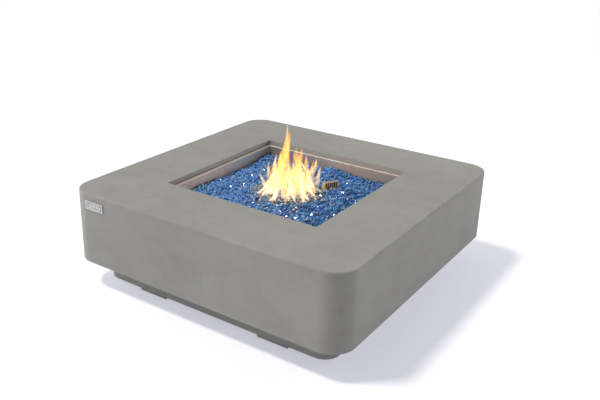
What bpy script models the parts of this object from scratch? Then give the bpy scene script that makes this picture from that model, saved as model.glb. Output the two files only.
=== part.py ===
"""Square gas fire table: a cast concrete drum on a recessed plinth, with a drop-in steel burner tray,
a ring burner under a bed of fire glass, and a recessed control panel on the back wall.

Metres, +Z up. The origin is on the floor under the middle of the table. The front (-Y) carries the
name plate, the back (+Y) the controls. Everything is worked out from the driving dimensions below.
"""

import math

import bmesh
import bpy
from mathutils import Matrix, Vector

# Table: the cast drum
TABLE_SIDE = 1.070
TABLE_HEIGHT = 0.350
SKIRT_HEIGHT = 0.255
CORNER_RADIUS = 0.080
SKIRT_WALL = 0.022
SLAB_THICKNESS = 0.030
TOP_ARRIS = 0.003
OPENING_SIDE = 0.605
OPENING_CORNER = 0.008
LEDGE_WIDTH = 0.0115
RIM_WIDTH = 0.044
RIM_DEPTH = 0.050
BOSS_SIDE = 0.143
BOSS_HEIGHT = 0.060

# Base: the steel plate inside the skirt and the plinth with its feet
PLATE_THICKNESS = 0.004
PLATE_RAISE = 0.006
PLATE_FRAME = 0.050
PLINTH_INSET = 0.075
PLINTH_WALL = 0.030
PLINTH_CORNER = 0.055
PLINTH_BLOCK = 0.090
FOOT_HEIGHT = 0.015
FOOT_LENGTH = 0.115
FOOT_SPACING = 0.495
FOOT_DEPTH = 0.016
FOOT_INSET = 0.010
BOLT_RADIUS = 0.005
BOLT_HEAD = 0.0064
BOLT_HEAD_FLATS = 0.016
BOLT_SEAT_WEB = 0.020
BOLT_GRIP = 0.035
WASHER_RADIUS = 0.0105
WASHER_THICKNESS = 0.002
BOLT_INSET = 0.045
HOSE_HOLE_RADIUS = 0.013
HOSE_BORE_RADIUS = 0.009

# Burner tray, ring burner and its feed
SHEET = 0.0015
LEDGE_DROP = 0.0185
TRAY_DEPTH = 0.098
TRAY_CLEARANCE = 0.002
FLANGE_CLEARANCE = 0.0025
TRAY_CORNER = 0.006
DRAIN_RADIUS = 0.004
RING_RADIUS = 0.100
RING_TUBE = 0.011
RING_STANDING = 0.012
CROSSBAR_TUBE = 0.009
TUBE_WALL = 0.0012
PORT_COUNT = 24
PORT_RADIUS = 0.0014
HUB_RADIUS = 0.017
NIPPLE_RADIUS = 0.0105
NIPPLE_BORE = 0.0078
LOCKNUT_HEIGHT = 0.006
LOCKNUT_FLATS = 2 * (NIPPLE_RADIUS + 0.0035)
MIXER_RADIUS = NIPPLE_RADIUS + 0.0035
MIXER_LENGTH = 0.045
AIR_HOLE_RADIUS = 0.004
ELBOW_RADIUS = 0.0088
STUB_RADIUS = ELBOW_RADIUS - 0.0008
STUB_LENGTH = 0.028
LINE_RADIUS = 0.006
LINE_NUT_FLATS = 2 * (STUB_RADIUS + 0.003)
LINE_NUT_LENGTH = 0.021
LINE_SLACK = 0.012

# Pilot: electrode and thermocouple under a slotted guard beside the ring
PILOT_OFFSET = 0.056
PILOT_BEARING = math.radians(53.5)
PILOT_TURN = math.radians(61)
GUARD_LENGTH = 0.054
GUARD_FOOT_DEPTH = 0.044
GUARD_TOP_DEPTH = 0.020
GUARD_SHEET = 0.0010
GUARD_LUG = 0.012
GUARD_STANDING = 0.025
SLOT_COUNT = 6
SLOT_WIDTH = 0.0038
SLOT_MARGIN = 0.0070
SLOT_DEPTH = 0.022
PROBE_SPACING = 0.022
PROBE_RADIUS = 0.0032
INSULATOR_RADIUS = 0.0040
ELECTRODE_RADIUS = 0.0012

# Fire glass
GLASS_DROP = 0.060
GLASS_CLEARANCE = 0.0007
GLASS_MOUND = 0.004
GLASS_CELLS = 18

# Controls on the back wall
PANEL_WIDTH = 0.190
PANEL_HEIGHT = 0.110
PANEL_FLANGE = 0.013
PANEL_FLANGE_THICKNESS = 0.0022
PANEL_RECESS = 0.035
PANEL_RISE = 0.120
PANEL_CORNER = 0.006
SCREW_RADIUS = 0.0020
SCREW_HEAD_RADIUS = 0.0038
SCREW_HEAD = 0.0015
SCREW_LENGTH = 0.014
KNOB_ACROSS = 0.040
KNOB_DISC = 0.007
KNOB_HEIGHT = 0.020
KNOB_GRIP = 0.010
KNOB_TRAVEL = 0.004
KNOB_X = 0.040
VALVE_SIDE = 0.042
VALVE_DEPTH = 0.045
NECK_RADIUS = 0.008
NECK_NUT = 0.004
NECK_NUT_FLATS = 2 * (NECK_RADIUS + 0.002)
STEM_RADIUS = 0.003
PLUG_RADIUS = 0.0075
PLUG_LENGTH = 0.018
IGNITER_X = -0.045
BATTERY_RADIUS = 0.00725
BATTERY_LENGTH = 0.0505
SPRING_ROOM = 0.0066
IGNITER_BORE = BATTERY_RADIUS + 0.00055
IGNITER_BARREL = IGNITER_BORE + 0.003
IGNITER_FLANGE = IGNITER_BARREL + 0.0037
IGNITER_END = 0.0035
CAP_RADIUS = IGNITER_FLANGE - 0.001
CAP_HEIGHT = 0.005
BUTTON_RADIUS = 0.005
BUTTON_STANDING = 0.004
BUTTON_TRAVEL = 0.003
HV_LEAD_RADIUS = 0.0022
PROBE_LEAD_RADIUS = 0.00125
LEAD_DROP = 0.012

# Name plate on the front wall
NAME_PLATE_LENGTH = 0.080
NAME_PLATE_HEIGHT = 0.030
NAME_PLATE_THICKNESS = 0.0022
NAME_PLATE_DROP = 0.0245
STUD_RADIUS = 0.0015
STUD_LENGTH = 0.010

GAP = 0.0003
RUNNING = 0.0003
REACH = 0.010  # how far a cutter runs past the face it opens

# Places that follow from the sizes
HALF = TABLE_SIDE / 2
INNER_HALF = HALF - SKIRT_WALL
SKIRT_BOTTOM = TABLE_HEIGHT - SKIRT_HEIGHT
PLATE_LOW = SKIRT_BOTTOM + PLATE_RAISE
PLATE_TOP = PLATE_LOW + PLATE_THICKNESS
SLAB_LOW = TABLE_HEIGHT - SLAB_THICKNESS
PLINTH_HALF = HALF - PLINTH_INSET
PLINTH_TOP = PLATE_LOW - GAP
BOLT_PLACE = PLINTH_HALF - BOLT_INSET
BOLT_SEAT = PLINTH_TOP - BOLT_SEAT_WEB
FLANGE_TOP = TABLE_HEIGHT - LEDGE_DROP
LEDGE = FLANGE_TOP - SHEET - GAP
THROAT_HALF = OPENING_SIDE / 2 - LEDGE_WIDTH
TRAY_HALF = THROAT_HALF - TRAY_CLEARANCE
TRAY_INNER = TRAY_HALF - SHEET
TRAY_LOW = FLANGE_TOP - TRAY_DEPTH
TRAY_FLOOR = TRAY_LOW + SHEET
RING_Z = TRAY_FLOOR + RING_STANDING + RING_TUBE
HUB_LOW = RING_Z - RING_TUBE - 0.003
HUB_TOP = RING_Z + CROSSBAR_TUBE + 0.003
MIXER_TOP = TRAY_LOW - LOCKNUT_HEIGHT - 0.004
MIXER_LOW = MIXER_TOP - MIXER_LENGTH
FEED_Z = MIXER_LOW - ELBOW_RADIUS - 0.002
GLASS_LEVEL = TABLE_HEIGHT - GLASS_DROP
GUARD_TOP = GLASS_LEVEL + GUARD_STANDING
PANEL_FRONT = HALF + GAP + PANEL_FLANGE_THICKNESS
PANEL_FACE = PANEL_FRONT - PANEL_RECESS
PANEL_Z = SKIRT_BOTTOM + PANEL_RISE
HOSE_Y = (PLINTH_HALF + INNER_HALF) / 2
LEAD_Z = TRAY_LOW - LEAD_DROP
VALVE_FRONT = -SHEET - GAP  # from here on, heights above the panel's recessed face
VALVE_BACK = VALVE_FRONT - VALVE_DEPTH
NECK_END = NECK_NUT + 0.0013
KNOB_BASE = NECK_END + KNOB_TRAVEL + 0.0007
PLUG_FRONT = VALVE_FRONT - 0.0115
PLUG_BACK = PLUG_FRONT - PLUG_LENGTH
BATTERY_FRONT = -0.0014
CAVITY_BACK = BATTERY_FRONT - BATTERY_LENGTH - SPRING_ROOM
BARREL_BACK = CAVITY_BACK - IGNITER_END
CAP_SEAT = 0.003 + 2 * GAP


def empty_the_scene():
    for leftover in list(bpy.data.objects):
        bpy.data.objects.remove(leftover)


empty_the_scene()
PARTS = bpy.data.collections.new("fire_table")
CUTTERS = bpy.data.collections.new("cutters")
for made in (PARTS, CUTTERS):
    bpy.context.scene.collection.children.link(made)


def material(name, colour, roughness, metallic=0.0):
    made = bpy.data.materials.new(name)
    made.use_nodes = True
    shader = made.node_tree.nodes["Principled BSDF"]
    shader.inputs["Base Color"].default_value = (*colour, 1.0)
    shader.inputs["Roughness"].default_value = roughness
    shader.inputs["Metallic"].default_value = metallic
    return made


CONCRETE = material("cast_concrete", (0.34, 0.34, 0.31), 0.85)
STAINLESS = material("stainless_steel", (0.55, 0.54, 0.52), 0.35, 1.0)
GALVANISED = material("galvanised_steel", (0.45, 0.46, 0.47), 0.5, 1.0)
BRASS = material("brass", (0.70, 0.52, 0.25), 0.35, 1.0)
COPPER = material("copper", (0.72, 0.38, 0.24), 0.35, 1.0)
ALUMINIUM = material("die_cast_aluminium", (0.60, 0.60, 0.61), 0.45, 1.0)
BLACK_PLASTIC = material("black_plastic", (0.02, 0.02, 0.02), 0.45)
BLACK_RUBBER = material("black_rubber", (0.03, 0.03, 0.03), 0.8)
SILICONE = material("red_silicone", (0.45, 0.05, 0.03), 0.5)
CERAMIC = material("white_ceramic", (0.85, 0.83, 0.78), 0.4)
WHITE_PAINT = material("white_paint", (0.85, 0.85, 0.85), 0.5)
GLASS = material("blue_fire_glass", (0.02, 0.10, 0.35), 0.1)


# Modelling helpers


def put(name, data, finish, location=(0, 0, 0), rotation=(0, 0, 0), parent=None):
    """A sub-part, or a cutter where finish is None."""
    obj = bpy.data.objects.new(name, data)
    (PARTS if finish else CUTTERS).objects.link(obj)
    obj.location = location
    obj.rotation_euler = rotation
    obj.parent = parent
    if finish:
        data.materials.append(finish)
    else:
        obj.hide_render = True
        obj.display_type = "WIRE"
    return obj


def frame_at(name, location, rotation):
    """An empty that carries a group of pieces in its own axes."""
    made = bpy.data.objects.new(name, None)
    PARTS.objects.link(made)
    made.location = location
    made.rotation_euler = rotation
    return made


def finished(bm, name, smooth=False):
    mesh = bpy.data.meshes.new(name)
    bm.to_mesh(mesh)
    bm.free()
    if smooth:
        mesh.shade_smooth()
        mesh.set_sharp_from_angle(angle=math.radians(40))
    return mesh


def block(name, low, high, radius=0.0, segments=6, arris=0.0, top_scale=(1.0, 1.0)):
    """A box between two corners, its upright edges rounded, its top edge eased or its top narrowed."""
    low, high = Vector(low), Vector(high)
    bm = bmesh.new()
    size, middle = high - low, (high + low) / 2
    bmesh.ops.create_cube(bm, size=1.0, matrix=Matrix.Diagonal((*size, 1.0)))
    for vert in bm.verts:
        if vert.co.z > 0:
            vert.co.x *= top_scale[0]
            vert.co.y *= top_scale[1]
    if radius:
        upright = [e for e in bm.edges if abs(e.verts[0].co.z - e.verts[1].co.z) > size.z / 2]
        bmesh.ops.bevel(bm, geom=upright, offset=radius, segments=segments, affect="EDGES", profile=0.5)
    if arris:
        top = [e for e in bm.edges if min(v.co.z for v in e.verts) > size.z / 2 - 1e-6]
        bmesh.ops.bevel(bm, geom=top, offset=arris, segments=3, affect="EDGES", profile=0.5)
    bmesh.ops.translate(bm, verts=bm.verts, vec=middle)
    return finished(bm, name, smooth=bool(radius))


def rod(name, radius, low, high, sides=24):
    """A cylinder on the Z axis between two heights. Six sides and half the width over flats make a nut."""
    bm = bmesh.new()
    place = Matrix.Translation((0, 0, (low + high) / 2))
    bmesh.ops.create_cone(bm, cap_ends=True, segments=sides, radius1=radius, radius2=radius,
                          depth=high - low, matrix=place)
    return finished(bm, name, smooth=sides > 8)


def hexagon(name, across_flats, low, high):
    return rod(name, across_flats / math.sqrt(3), low, high, sides=6)


def turned(name, profile, finish, steps=28, ring=False, **where):
    """A profile of (radius, height) points, down its outer side, turned about Z. A ring's profile closes."""
    points = [(radius, 0.0, height) for radius, height in profile]
    edges = [(i, i + 1) for i in range(len(points) - 1)]
    if ring:
        edges.append((len(points) - 1, 0))
    mesh = bpy.data.meshes.new(name)
    mesh.from_pydata(points, edges, [])
    obj = put(name, mesh, finish, **where)
    screw = obj.modifiers.new("turn", "SCREW")
    screw.steps = screw.render_steps = steps
    screw.use_merge_vertices = True
    screw.merge_threshold = 0.00001
    screw.use_smooth_shade = True
    return obj


def washer(name, inner, outer, low, high, finish, **where):
    profile = [(inner, high), (outer, high), (outer, low), (inner, low)]
    return turned(name, profile, finish, ring=True, **where)


def boolean(obj, operation, other):
    modifier = obj.modifiers.new(other.name, "BOOLEAN")
    modifier.operation = operation
    modifier.object = other
    modifier.solver = "EXACT"


def cut(obj, what, mesh, **where):
    boolean(obj, "DIFFERENCE", put(f"cut_{obj.name}_{what}", mesh, None, **where))


def join(obj, what, mesh, **where):
    boolean(obj, "UNION", put(f"add_{obj.name}_{what}", mesh, None, **where))


def gathered(name, meshes_and_places):
    """One mesh of several shapes, each moved by its own matrix, for a cutter that repeats."""
    bm = bmesh.new()
    for mesh, place in meshes_and_places:
        before = len(bm.verts)
        bm.from_mesh(mesh)
        bm.verts.ensure_lookup_table()
        bmesh.ops.transform(bm, matrix=place, verts=bm.verts[before:])
    return finished(bm, name)


def smooth_route(points, spacing):
    """Points along a Catmull-Rom curve through the given ones."""
    given = [Vector(p) for p in points]
    ends = [2 * given[0] - given[1], *given, 2 * given[-1] - given[-2]]
    route = []
    for a, b, c, d in zip(ends, ends[1:], ends[2:], ends[3:]):
        count = max(1, round((c - b).length / spacing))
        for step in range(count):
            t = step / count
            route.append(0.5 * (2 * b + (c - a) * t + (2 * a - 5 * b + 4 * c - d) * t**2
                                + (3 * b - a - 3 * c + d) * t**3))
    return [*route, given[-1]]


def tube(name, route, radius, finish, **where):
    """A round wire or pipe along a route."""
    curve = bpy.data.curves.new(name, "CURVE")
    curve.dimensions = "3D"
    curve.bevel_depth = radius
    curve.bevel_resolution = 2
    curve.use_fill_caps = True
    spline = curve.splines.new("POLY")
    spline.points.add(len(route) - 1)
    for point, place in zip(spline.points, route):
        point.co = (*place, 1.0)
    return put(name, curve, finish, **where)


def four_corners():
    """(name, x sign, y sign) of each corner."""
    return [("front_left", -1, -1), ("front_right", 1, -1), ("back_right", 1, 1), ("back_left", -1, 1)]


# Concrete drum


def concrete_body():
    """Cast top and skirt in one shell, open below, with a thick rim round the opening and a boss in
    each inner corner that takes a base bolt."""
    body = put("concrete_body", block("drum", (-HALF, -HALF, SKIRT_BOTTOM), (HALF, HALF, TABLE_HEIGHT),
                                      CORNER_RADIUS, 12, TOP_ARRIS), CONCRETE)
    boss_top = PLATE_TOP + BOSS_HEIGHT
    inner_radius = CORNER_RADIUS - SKIRT_WALL
    boss_edge = INNER_HALF - BOSS_SIDE
    overlap = BOSS_HEIGHT / 2

    def hollow(what, half_x, half_y, low, high, radius=0.0):
        cut(body, what, block(what, (-half_x, -half_y, low), (half_x, half_y, high), radius, 8))

    hollow("upper_hollow", INNER_HALF, INNER_HALF, boss_top, SLAB_LOW, inner_radius)
    hollow("bay_across", INNER_HALF, boss_edge, SKIRT_BOTTOM, boss_top + overlap)
    hollow("bay_along", boss_edge, INNER_HALF, SKIRT_BOTTOM, boss_top + overlap)
    hollow("base_recess", INNER_HALF, INNER_HALF, SKIRT_BOTTOM - REACH, PLATE_TOP + GAP, inner_radius)
    rim_half = OPENING_SIDE / 2 + RIM_WIDTH
    join(body, "rim", block("rim", (-rim_half, -rim_half, TABLE_HEIGHT - RIM_DEPTH),
                            (rim_half, rim_half, SLAB_LOW + SLAB_THICKNESS / 2)))
    hollow("throat", THROAT_HALF, THROAT_HALF, TABLE_HEIGHT - RIM_DEPTH - REACH,
           TABLE_HEIGHT + REACH, OPENING_CORNER)
    hollow("opening", OPENING_SIDE / 2, OPENING_SIDE / 2, LEDGE, TABLE_HEIGHT + 2 * REACH, OPENING_CORNER)
    window_x = PANEL_WIDTH / 2 - PANEL_FLANGE + TRAY_CLEARANCE
    window_z = PANEL_HEIGHT / 2 - PANEL_FLANGE + TRAY_CLEARANCE
    cut(body, "panel_window", block("window", (-window_x, INNER_HALF - REACH, PANEL_Z - window_z),
                                    (window_x, HALF + REACH, PANEL_Z + window_z)))
    bolt_hole = rod("bolt_hole", BOLT_RADIUS + 0.0005, PLATE_TOP - REACH, PLATE_TOP + BOLT_GRIP + 0.005, 16)
    places = [(bolt_hole, Matrix.Translation((sx * BOLT_PLACE, sy * BOLT_PLACE, 0)))
              for _, sx, sy in four_corners()]
    cut(body, "bolt_holes", gathered("bolt_holes", places))
    screw_hole = rod("screw_hole", SCREW_RADIUS + GAP, -SCREW_LENGTH - 0.001, REACH, 12)
    outward = Matrix.Rotation(-math.pi / 2, 4, "X")
    places = [(screw_hole, Matrix.Translation((x, HALF, z)) @ outward) for x, z in panel_screw_places()]
    stud_hole = rod("stud_hole", STUD_RADIUS + GAP, -REACH, STUD_LENGTH + 0.001, 12)
    places += [(stud_hole, Matrix.Translation((x, -HALF, name_plate_z())) @ outward)
               for x in name_plate_studs()]
    cut(body, "screw_holes", gathered("screw_holes", places))


def panel_screw_places():
    x = (PANEL_WIDTH - PANEL_FLANGE) / 2
    z = (PANEL_HEIGHT - PANEL_FLANGE) / 2
    return [(sx * x, PANEL_Z + sz * z) for sx in (-1, 1) for sz in (-1, 1)]


def name_plate_x():
    return -HALF + CORNER_RADIUS + NAME_PLATE_LENGTH / 2


def name_plate_z():
    return TABLE_HEIGHT - NAME_PLATE_DROP - NAME_PLATE_HEIGHT / 2


def name_plate_studs():
    reach = NAME_PLATE_LENGTH / 2 - 0.008
    return [name_plate_x() - reach, name_plate_x() + reach]


def name_plate():
    """A blank stainless plate on two rear studs."""
    x, z = name_plate_x(), name_plate_z()
    back = -HALF - GAP
    half = Vector((NAME_PLATE_LENGTH, 0, NAME_PLATE_HEIGHT)) / 2
    plate = put("name_plate", block("name_plate", (x - half.x, back - NAME_PLATE_THICKNESS, z - half.z),
                                    (x + half.x, back, z + half.z)), STAINLESS)
    stud = rod("stud", STUD_RADIUS, -NAME_PLATE_THICKNESS / 2, STUD_LENGTH, 12)
    outward = Matrix.Rotation(-math.pi / 2, 4, "X")
    join(plate, "studs", gathered("studs", [(stud, Matrix.Translation((at, back, z)) @ outward)
                                            for at in name_plate_studs()]))


# Base


def base_plate():
    """A galvanised frame that closes the soffit inside the skirt and leaves the middle open for air."""
    half = INNER_HALF - 0.003
    radius = CORNER_RADIUS - SKIRT_WALL - 0.003
    plate = put("base_plate", block("base_plate", (-half, -half, PLATE_LOW), (half, half, PLATE_TOP),
                                    radius, 8), GALVANISED)
    mouth = PLINTH_HALF - PLINTH_WALL - PLATE_FRAME
    cut(plate, "mouth", block("mouth", (-mouth, -mouth, PLATE_LOW - REACH), (mouth, mouth, PLATE_TOP + REACH),
                              0.020, 4))
    hole = rod("hole", BOLT_RADIUS + 0.0005, PLATE_LOW - REACH, PLATE_TOP + REACH, 16)
    places = [(hole, Matrix.Translation((sx * BOLT_PLACE, sy * BOLT_PLACE, 0)))
              for _, sx, sy in four_corners()]
    hose = rod("hose", HOSE_HOLE_RADIUS, PLATE_LOW - REACH, PLATE_TOP + REACH)
    places.append((hose, Matrix.Translation((KNOB_X, HOSE_Y, 0))))
    cut(plate, "holes", gathered("holes", places))


def base_plinth():
    """A cast ring set back under the skirt, with two feet on each side and a bolt block in each corner."""
    plinth = put("base_plinth", block("plinth", (-PLINTH_HALF, -PLINTH_HALF, FOOT_HEIGHT),
                                      (PLINTH_HALF, PLINTH_HALF, PLINTH_TOP), PLINTH_CORNER, 8), CONCRETE)
    inner = PLINTH_HALF - PLINTH_WALL
    step = PLINTH_BLOCK - PLINTH_WALL
    for what, half_x, half_y in (("well_across", inner, inner - step), ("well_along", inner - step, inner)):
        cut(plinth, what, block(what, (-half_x, -half_y, FOOT_HEIGHT - REACH),
                                (half_x, half_y, PLINTH_TOP + REACH)))
    outer_face = PLINTH_HALF - FOOT_INSET
    foot = block("foot", (-FOOT_LENGTH / 2, -outer_face, 0),
                 (FOOT_LENGTH / 2, -outer_face + FOOT_DEPTH, 2 * FOOT_HEIGHT))
    places = [(foot, Matrix.Rotation(quarter * math.pi / 2, 4, "Z")
               @ Matrix.Translation((side * FOOT_SPACING / 2, 0, 0)))
              for quarter in range(4) for side in (-1, 1)]
    join(plinth, "feet", gathered("feet", places))
    hole = rod("hole", BOLT_RADIUS + 0.0005, FOOT_HEIGHT - REACH, PLINTH_TOP + REACH, 16)
    pocket = rod("pocket", WASHER_RADIUS + 0.002, FOOT_HEIGHT - REACH, BOLT_SEAT)
    places = [(shape, Matrix.Translation((sx * BOLT_PLACE, sy * BOLT_PLACE, 0)))
              for _, sx, sy in four_corners() for shape in (hole, pocket)]
    for number, (shape, place) in enumerate(places):
        cut(plinth, f"bolt_{number}", shape, location=place.translation)


def base_bolts():
    """A hexagon bolt and washer at each corner, up through plinth and plate into the drum's boss."""
    seat = BOLT_SEAT - WASHER_THICKNESS - 2 * GAP
    for corner, sx, sy in four_corners():
        place = (sx * BOLT_PLACE, sy * BOLT_PLACE, 0)
        washer(f"base_washer_{corner}", BOLT_RADIUS + GAP, WASHER_RADIUS,
               BOLT_SEAT - WASHER_THICKNESS - GAP, BOLT_SEAT - GAP, GALVANISED, location=place)
        bolt = put(f"base_bolt_{corner}", hexagon("bolt_head", BOLT_HEAD_FLATS, seat - BOLT_HEAD, seat),
                   GALVANISED, place)
        join(bolt, "shank", rod("shank", BOLT_RADIUS, seat - BOLT_HEAD / 2, PLATE_TOP + BOLT_GRIP, 16),
             location=place)


def hose_grommet():
    """A rubber bush that lines the hole where the supply hose comes in."""
    flange, lip = HOSE_HOLE_RADIUS + 0.0035, 0.0020
    low, high = PLATE_LOW - GAP, PLATE_TOP + GAP
    waist = HOSE_HOLE_RADIUS - GAP
    profile = [(HOSE_BORE_RADIUS, high + lip), (flange, high + lip), (flange, high), (waist, high),
               (waist, low), (flange, low), (flange, low - lip), (HOSE_BORE_RADIUS, low - lip)]
    turned("hose_grommet", profile, BLACK_RUBBER, ring=True, location=(KNOB_X, HOSE_Y, 0))


# Burner tray and burner


def pilot_place():
    """Where the pilot stands, outside the ring on its bearing."""
    reach = RING_RADIUS + PILOT_OFFSET
    return Vector((reach * math.cos(PILOT_BEARING), reach * math.sin(PILOT_BEARING), 0))


def pilot_point(x, y):
    """A point of the pilot's own axes, in the table's."""
    return pilot_place() + Matrix.Rotation(PILOT_TURN, 3, "Z") @ Vector((x, y, 0))


def guard_lug_points():
    reach = GUARD_LENGTH / 2 + GUARD_LUG / 2
    return [pilot_point(side * reach, 0) for side in (-1, 1)]


def bracket_screw_point():
    return pilot_point(0, 0.0155)


def burner_tray():
    """A folded stainless pan that hangs by its flange on the ledge."""
    flange = OPENING_SIDE / 2 - FLANGE_CLEARANCE
    tray = put("burner_tray", block("pan", (-TRAY_HALF, -TRAY_HALF, TRAY_LOW), (TRAY_HALF, TRAY_HALF, FLANGE_TOP),
                                    TRAY_CORNER, 4), STAINLESS)
    join(tray, "flange", block("flange", (-flange, -flange, FLANGE_TOP - SHEET), (flange, flange, FLANGE_TOP),
                               TRAY_CORNER, 4))
    cut(tray, "inside", block("inside", (-TRAY_INNER, -TRAY_INNER, TRAY_FLOOR),
                              (TRAY_INNER, TRAY_INNER, FLANGE_TOP + REACH), TRAY_CORNER - SHEET, 4))

    def hole(what, radius, sides=12):
        return rod(what, radius, TRAY_LOW - REACH, TRAY_FLOOR + REACH, sides)

    drain_reach = TRAY_INNER * 0.82
    drain = hole("drain", DRAIN_RADIUS, 10)
    places = [(drain, Matrix.Translation((x * drain_reach, y * drain_reach, 0)))
              for x in (-1, 0, 1) for y in (-1, 0, 1) if x or y]
    places.append((hole("feed", NIPPLE_RADIUS + 0.001, 20), Matrix()))
    lead_hole = hole("lead", HV_LEAD_RADIUS + 0.002)
    places += [(lead_hole, Matrix.Translation(pilot_point(x, 0))) for x in (-PROBE_SPACING / 2, PROBE_SPACING / 2)]
    screw_hole = hole("screw", SCREW_RADIUS + GAP, 10)
    places += [(screw_hole, Matrix.Translation(at)) for at in (*guard_lug_points(), bracket_screw_point())]
    cut(tray, "holes", gathered("holes", places))


def torus(name, radius, tube_radius):
    """A ring of round tube about Z, from a circle turned once."""
    sides = 10
    angles = [2 * math.pi * i / sides for i in range(sides)]
    profile = [(radius - tube_radius * math.cos(a), tube_radius * math.sin(a)) for a in angles]
    return turned(name, profile, None, steps=40, ring=True, location=(0, 0, RING_Z))


def ring_burner():
    """A hollow ring fed by a hollow crossbar from a central hub, with gas ports along its top."""
    along_x = (0, math.pi / 2, 0)
    outer = turned("ring_burner", [(RING_RADIUS - RING_TUBE * math.cos(2 * math.pi * i / 10),
                                    RING_TUBE * math.sin(2 * math.pi * i / 10)) for i in range(10)],
                   STAINLESS, steps=40, ring=True, location=(0, 0, RING_Z))
    join(outer, "crossbar", rod("crossbar", CROSSBAR_TUBE, -RING_RADIUS, RING_RADIUS, 14),
         location=(0, 0, RING_Z), rotation=along_x)
    join(outer, "hub", rod("hub", HUB_RADIUS, HUB_LOW, HUB_TOP))
    boolean(outer, "DIFFERENCE", torus("cut_ring_bore", RING_RADIUS, RING_TUBE - TUBE_WALL))
    cut(outer, "crossbar_bore", rod("crossbar_bore", CROSSBAR_TUBE - TUBE_WALL,
                                    -RING_RADIUS, RING_RADIUS, 14),
        location=(0, 0, RING_Z), rotation=along_x)
    cut(outer, "hub_bore", rod("hub_bore", NIPPLE_RADIUS + RUNNING, HUB_LOW - REACH, RING_Z))
    port = rod("port", PORT_RADIUS, 0, RING_TUBE + REACH, 8)
    turn = 2 * math.pi / PORT_COUNT
    places = [(port, Matrix.Rotation(turn * (i + 0.5), 4, "Z") @ Matrix.Translation((RING_RADIUS, 0, RING_Z)))
              for i in range(PORT_COUNT)]
    cut(outer, "ports", gathered("ports", places))


def burner_standoffs():
    """A steel spool under the ring at the front and at the back."""
    low, high = TRAY_FLOOR + GAP, RING_Z - RING_TUBE - GAP
    for place, y in (("front", -RING_RADIUS), ("back", RING_RADIUS)):
        profile = [(0, high), (0.006, high), (0.006, high - 0.002), (0.004, high - 0.003),
                   (0.004, low + 0.003), (0.006, low + 0.002), (0.006, low), (0, low)]
        turned(f"burner_standoff_{place}", profile, STAINLESS, steps=20, location=(0, y, 0))


def burner_feed():
    """Nipple, two locknuts, air mixer and elbow on the table's centre line."""
    nipple_low = MIXER_TOP - 0.012
    washer("inlet_nipple", NIPPLE_BORE, NIPPLE_RADIUS, nipple_low, HUB_LOW + 0.010, BRASS)
    nuts = (("tray_locknut_upper", TRAY_FLOOR + GAP, HUB_LOW - GAP),
            ("tray_locknut_lower", TRAY_LOW - GAP - LOCKNUT_HEIGHT, TRAY_LOW - GAP))
    for name, low, high in nuts:
        nut = put(name, hexagon(name, LOCKNUT_FLATS, low, high), BRASS)
        cut(nut, "bore", rod("bore", NIPPLE_RADIUS + RUNNING, low - REACH, high + REACH))
    throat = NIPPLE_BORE - 0.0005
    socket_top, socket_low = MIXER_TOP - 0.013, MIXER_LOW + 0.010
    profile = [(NIPPLE_RADIUS + RUNNING, MIXER_TOP), (MIXER_RADIUS, MIXER_TOP), (MIXER_RADIUS, MIXER_LOW),
               (ELBOW_RADIUS + RUNNING, MIXER_LOW), (ELBOW_RADIUS + RUNNING, socket_low),
               (throat, socket_low), (throat, socket_top), (NIPPLE_RADIUS + RUNNING, socket_top)]
    mixer = turned("air_mixer", profile, BRASS, ring=True)
    middle = (socket_top + socket_low) / 2
    for number, rotation in enumerate(((math.pi / 2, 0, 0), (0, math.pi / 2, 0))):
        cut(mixer, f"air_{number}", rod("air", AIR_HOLE_RADIUS, -MIXER_RADIUS - REACH, MIXER_RADIUS + REACH, 16),
            location=(0, 0, middle), rotation=rotation)
    elbow = put("gas_elbow", rod("elbow_leg", ELBOW_RADIUS, FEED_Z - ELBOW_RADIUS - 0.001, MIXER_LOW + 0.009),
                BRASS)
    along_y = (-math.pi / 2, 0, 0)
    join(elbow, "stub", rod("stub", STUB_RADIUS, 0, STUB_LENGTH), location=(0, 0, FEED_Z), rotation=along_y)
    cut(elbow, "bore_up", rod("bore_up", 0.004, FEED_Z, MIXER_LOW + REACH + 0.009, 16))
    cut(elbow, "bore_out", rod("bore_out", 0.0039, -0.002, STUB_LENGTH + REACH, 16),
        location=(0, 0, FEED_Z), rotation=along_y)


def line_nut(name, location, rotation):
    """A flare nut: its wide bore takes the stub, its narrow one the gas line. Local Z runs to the line."""
    nut = put(name, hexagon(name, LINE_NUT_FLATS, 0, LINE_NUT_LENGTH), BRASS, location, rotation)
    cut(nut, "socket", rod("socket", STUB_RADIUS + RUNNING, -REACH, 0.010), location=location, rotation=rotation)
    cut(nut, "bore", rod("bore", LINE_RADIUS + RUNNING, 0, LINE_NUT_LENGTH + REACH),
        location=location, rotation=rotation)


def gas_line():
    """A flexible stainless line from the valve's outlet to the elbow, with a little slack."""
    outlet = valve_outlet()
    start = Vector((0, STUB_LENGTH + GAP, FEED_Z))
    line_nut("burner_line_nut", (0, STUB_LENGTH - 0.0095, FEED_Z), (-math.pi / 2, 0, 0))
    line_nut("valve_line_nut", outlet + Vector((0, 0.0095, 0)), (math.pi / 2, 0, 0))
    finish = outlet - Vector((0, GAP, 0))
    straight = Vector((0, 0.020, 0))
    first, last = start + straight, finish - straight
    droop = Vector((0, 0, -LINE_SLACK))
    route = [start, first, first.lerp(last, 0.2) + droop, first.lerp(last, 0.5) + 1.5 * droop,
             first.lerp(last, 0.8) + droop / 2, last, finish]
    tube("gas_line", smooth_route(route, 0.015), LINE_RADIUS, STAINLESS)


# Control panel. Its pieces stand in a frame whose Z runs out of the table and whose Y runs down.


def panel_frame():
    return frame_at("panel_frame", (0, PANEL_FACE, PANEL_Z), (-math.pi / 2, 0, 0))


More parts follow.
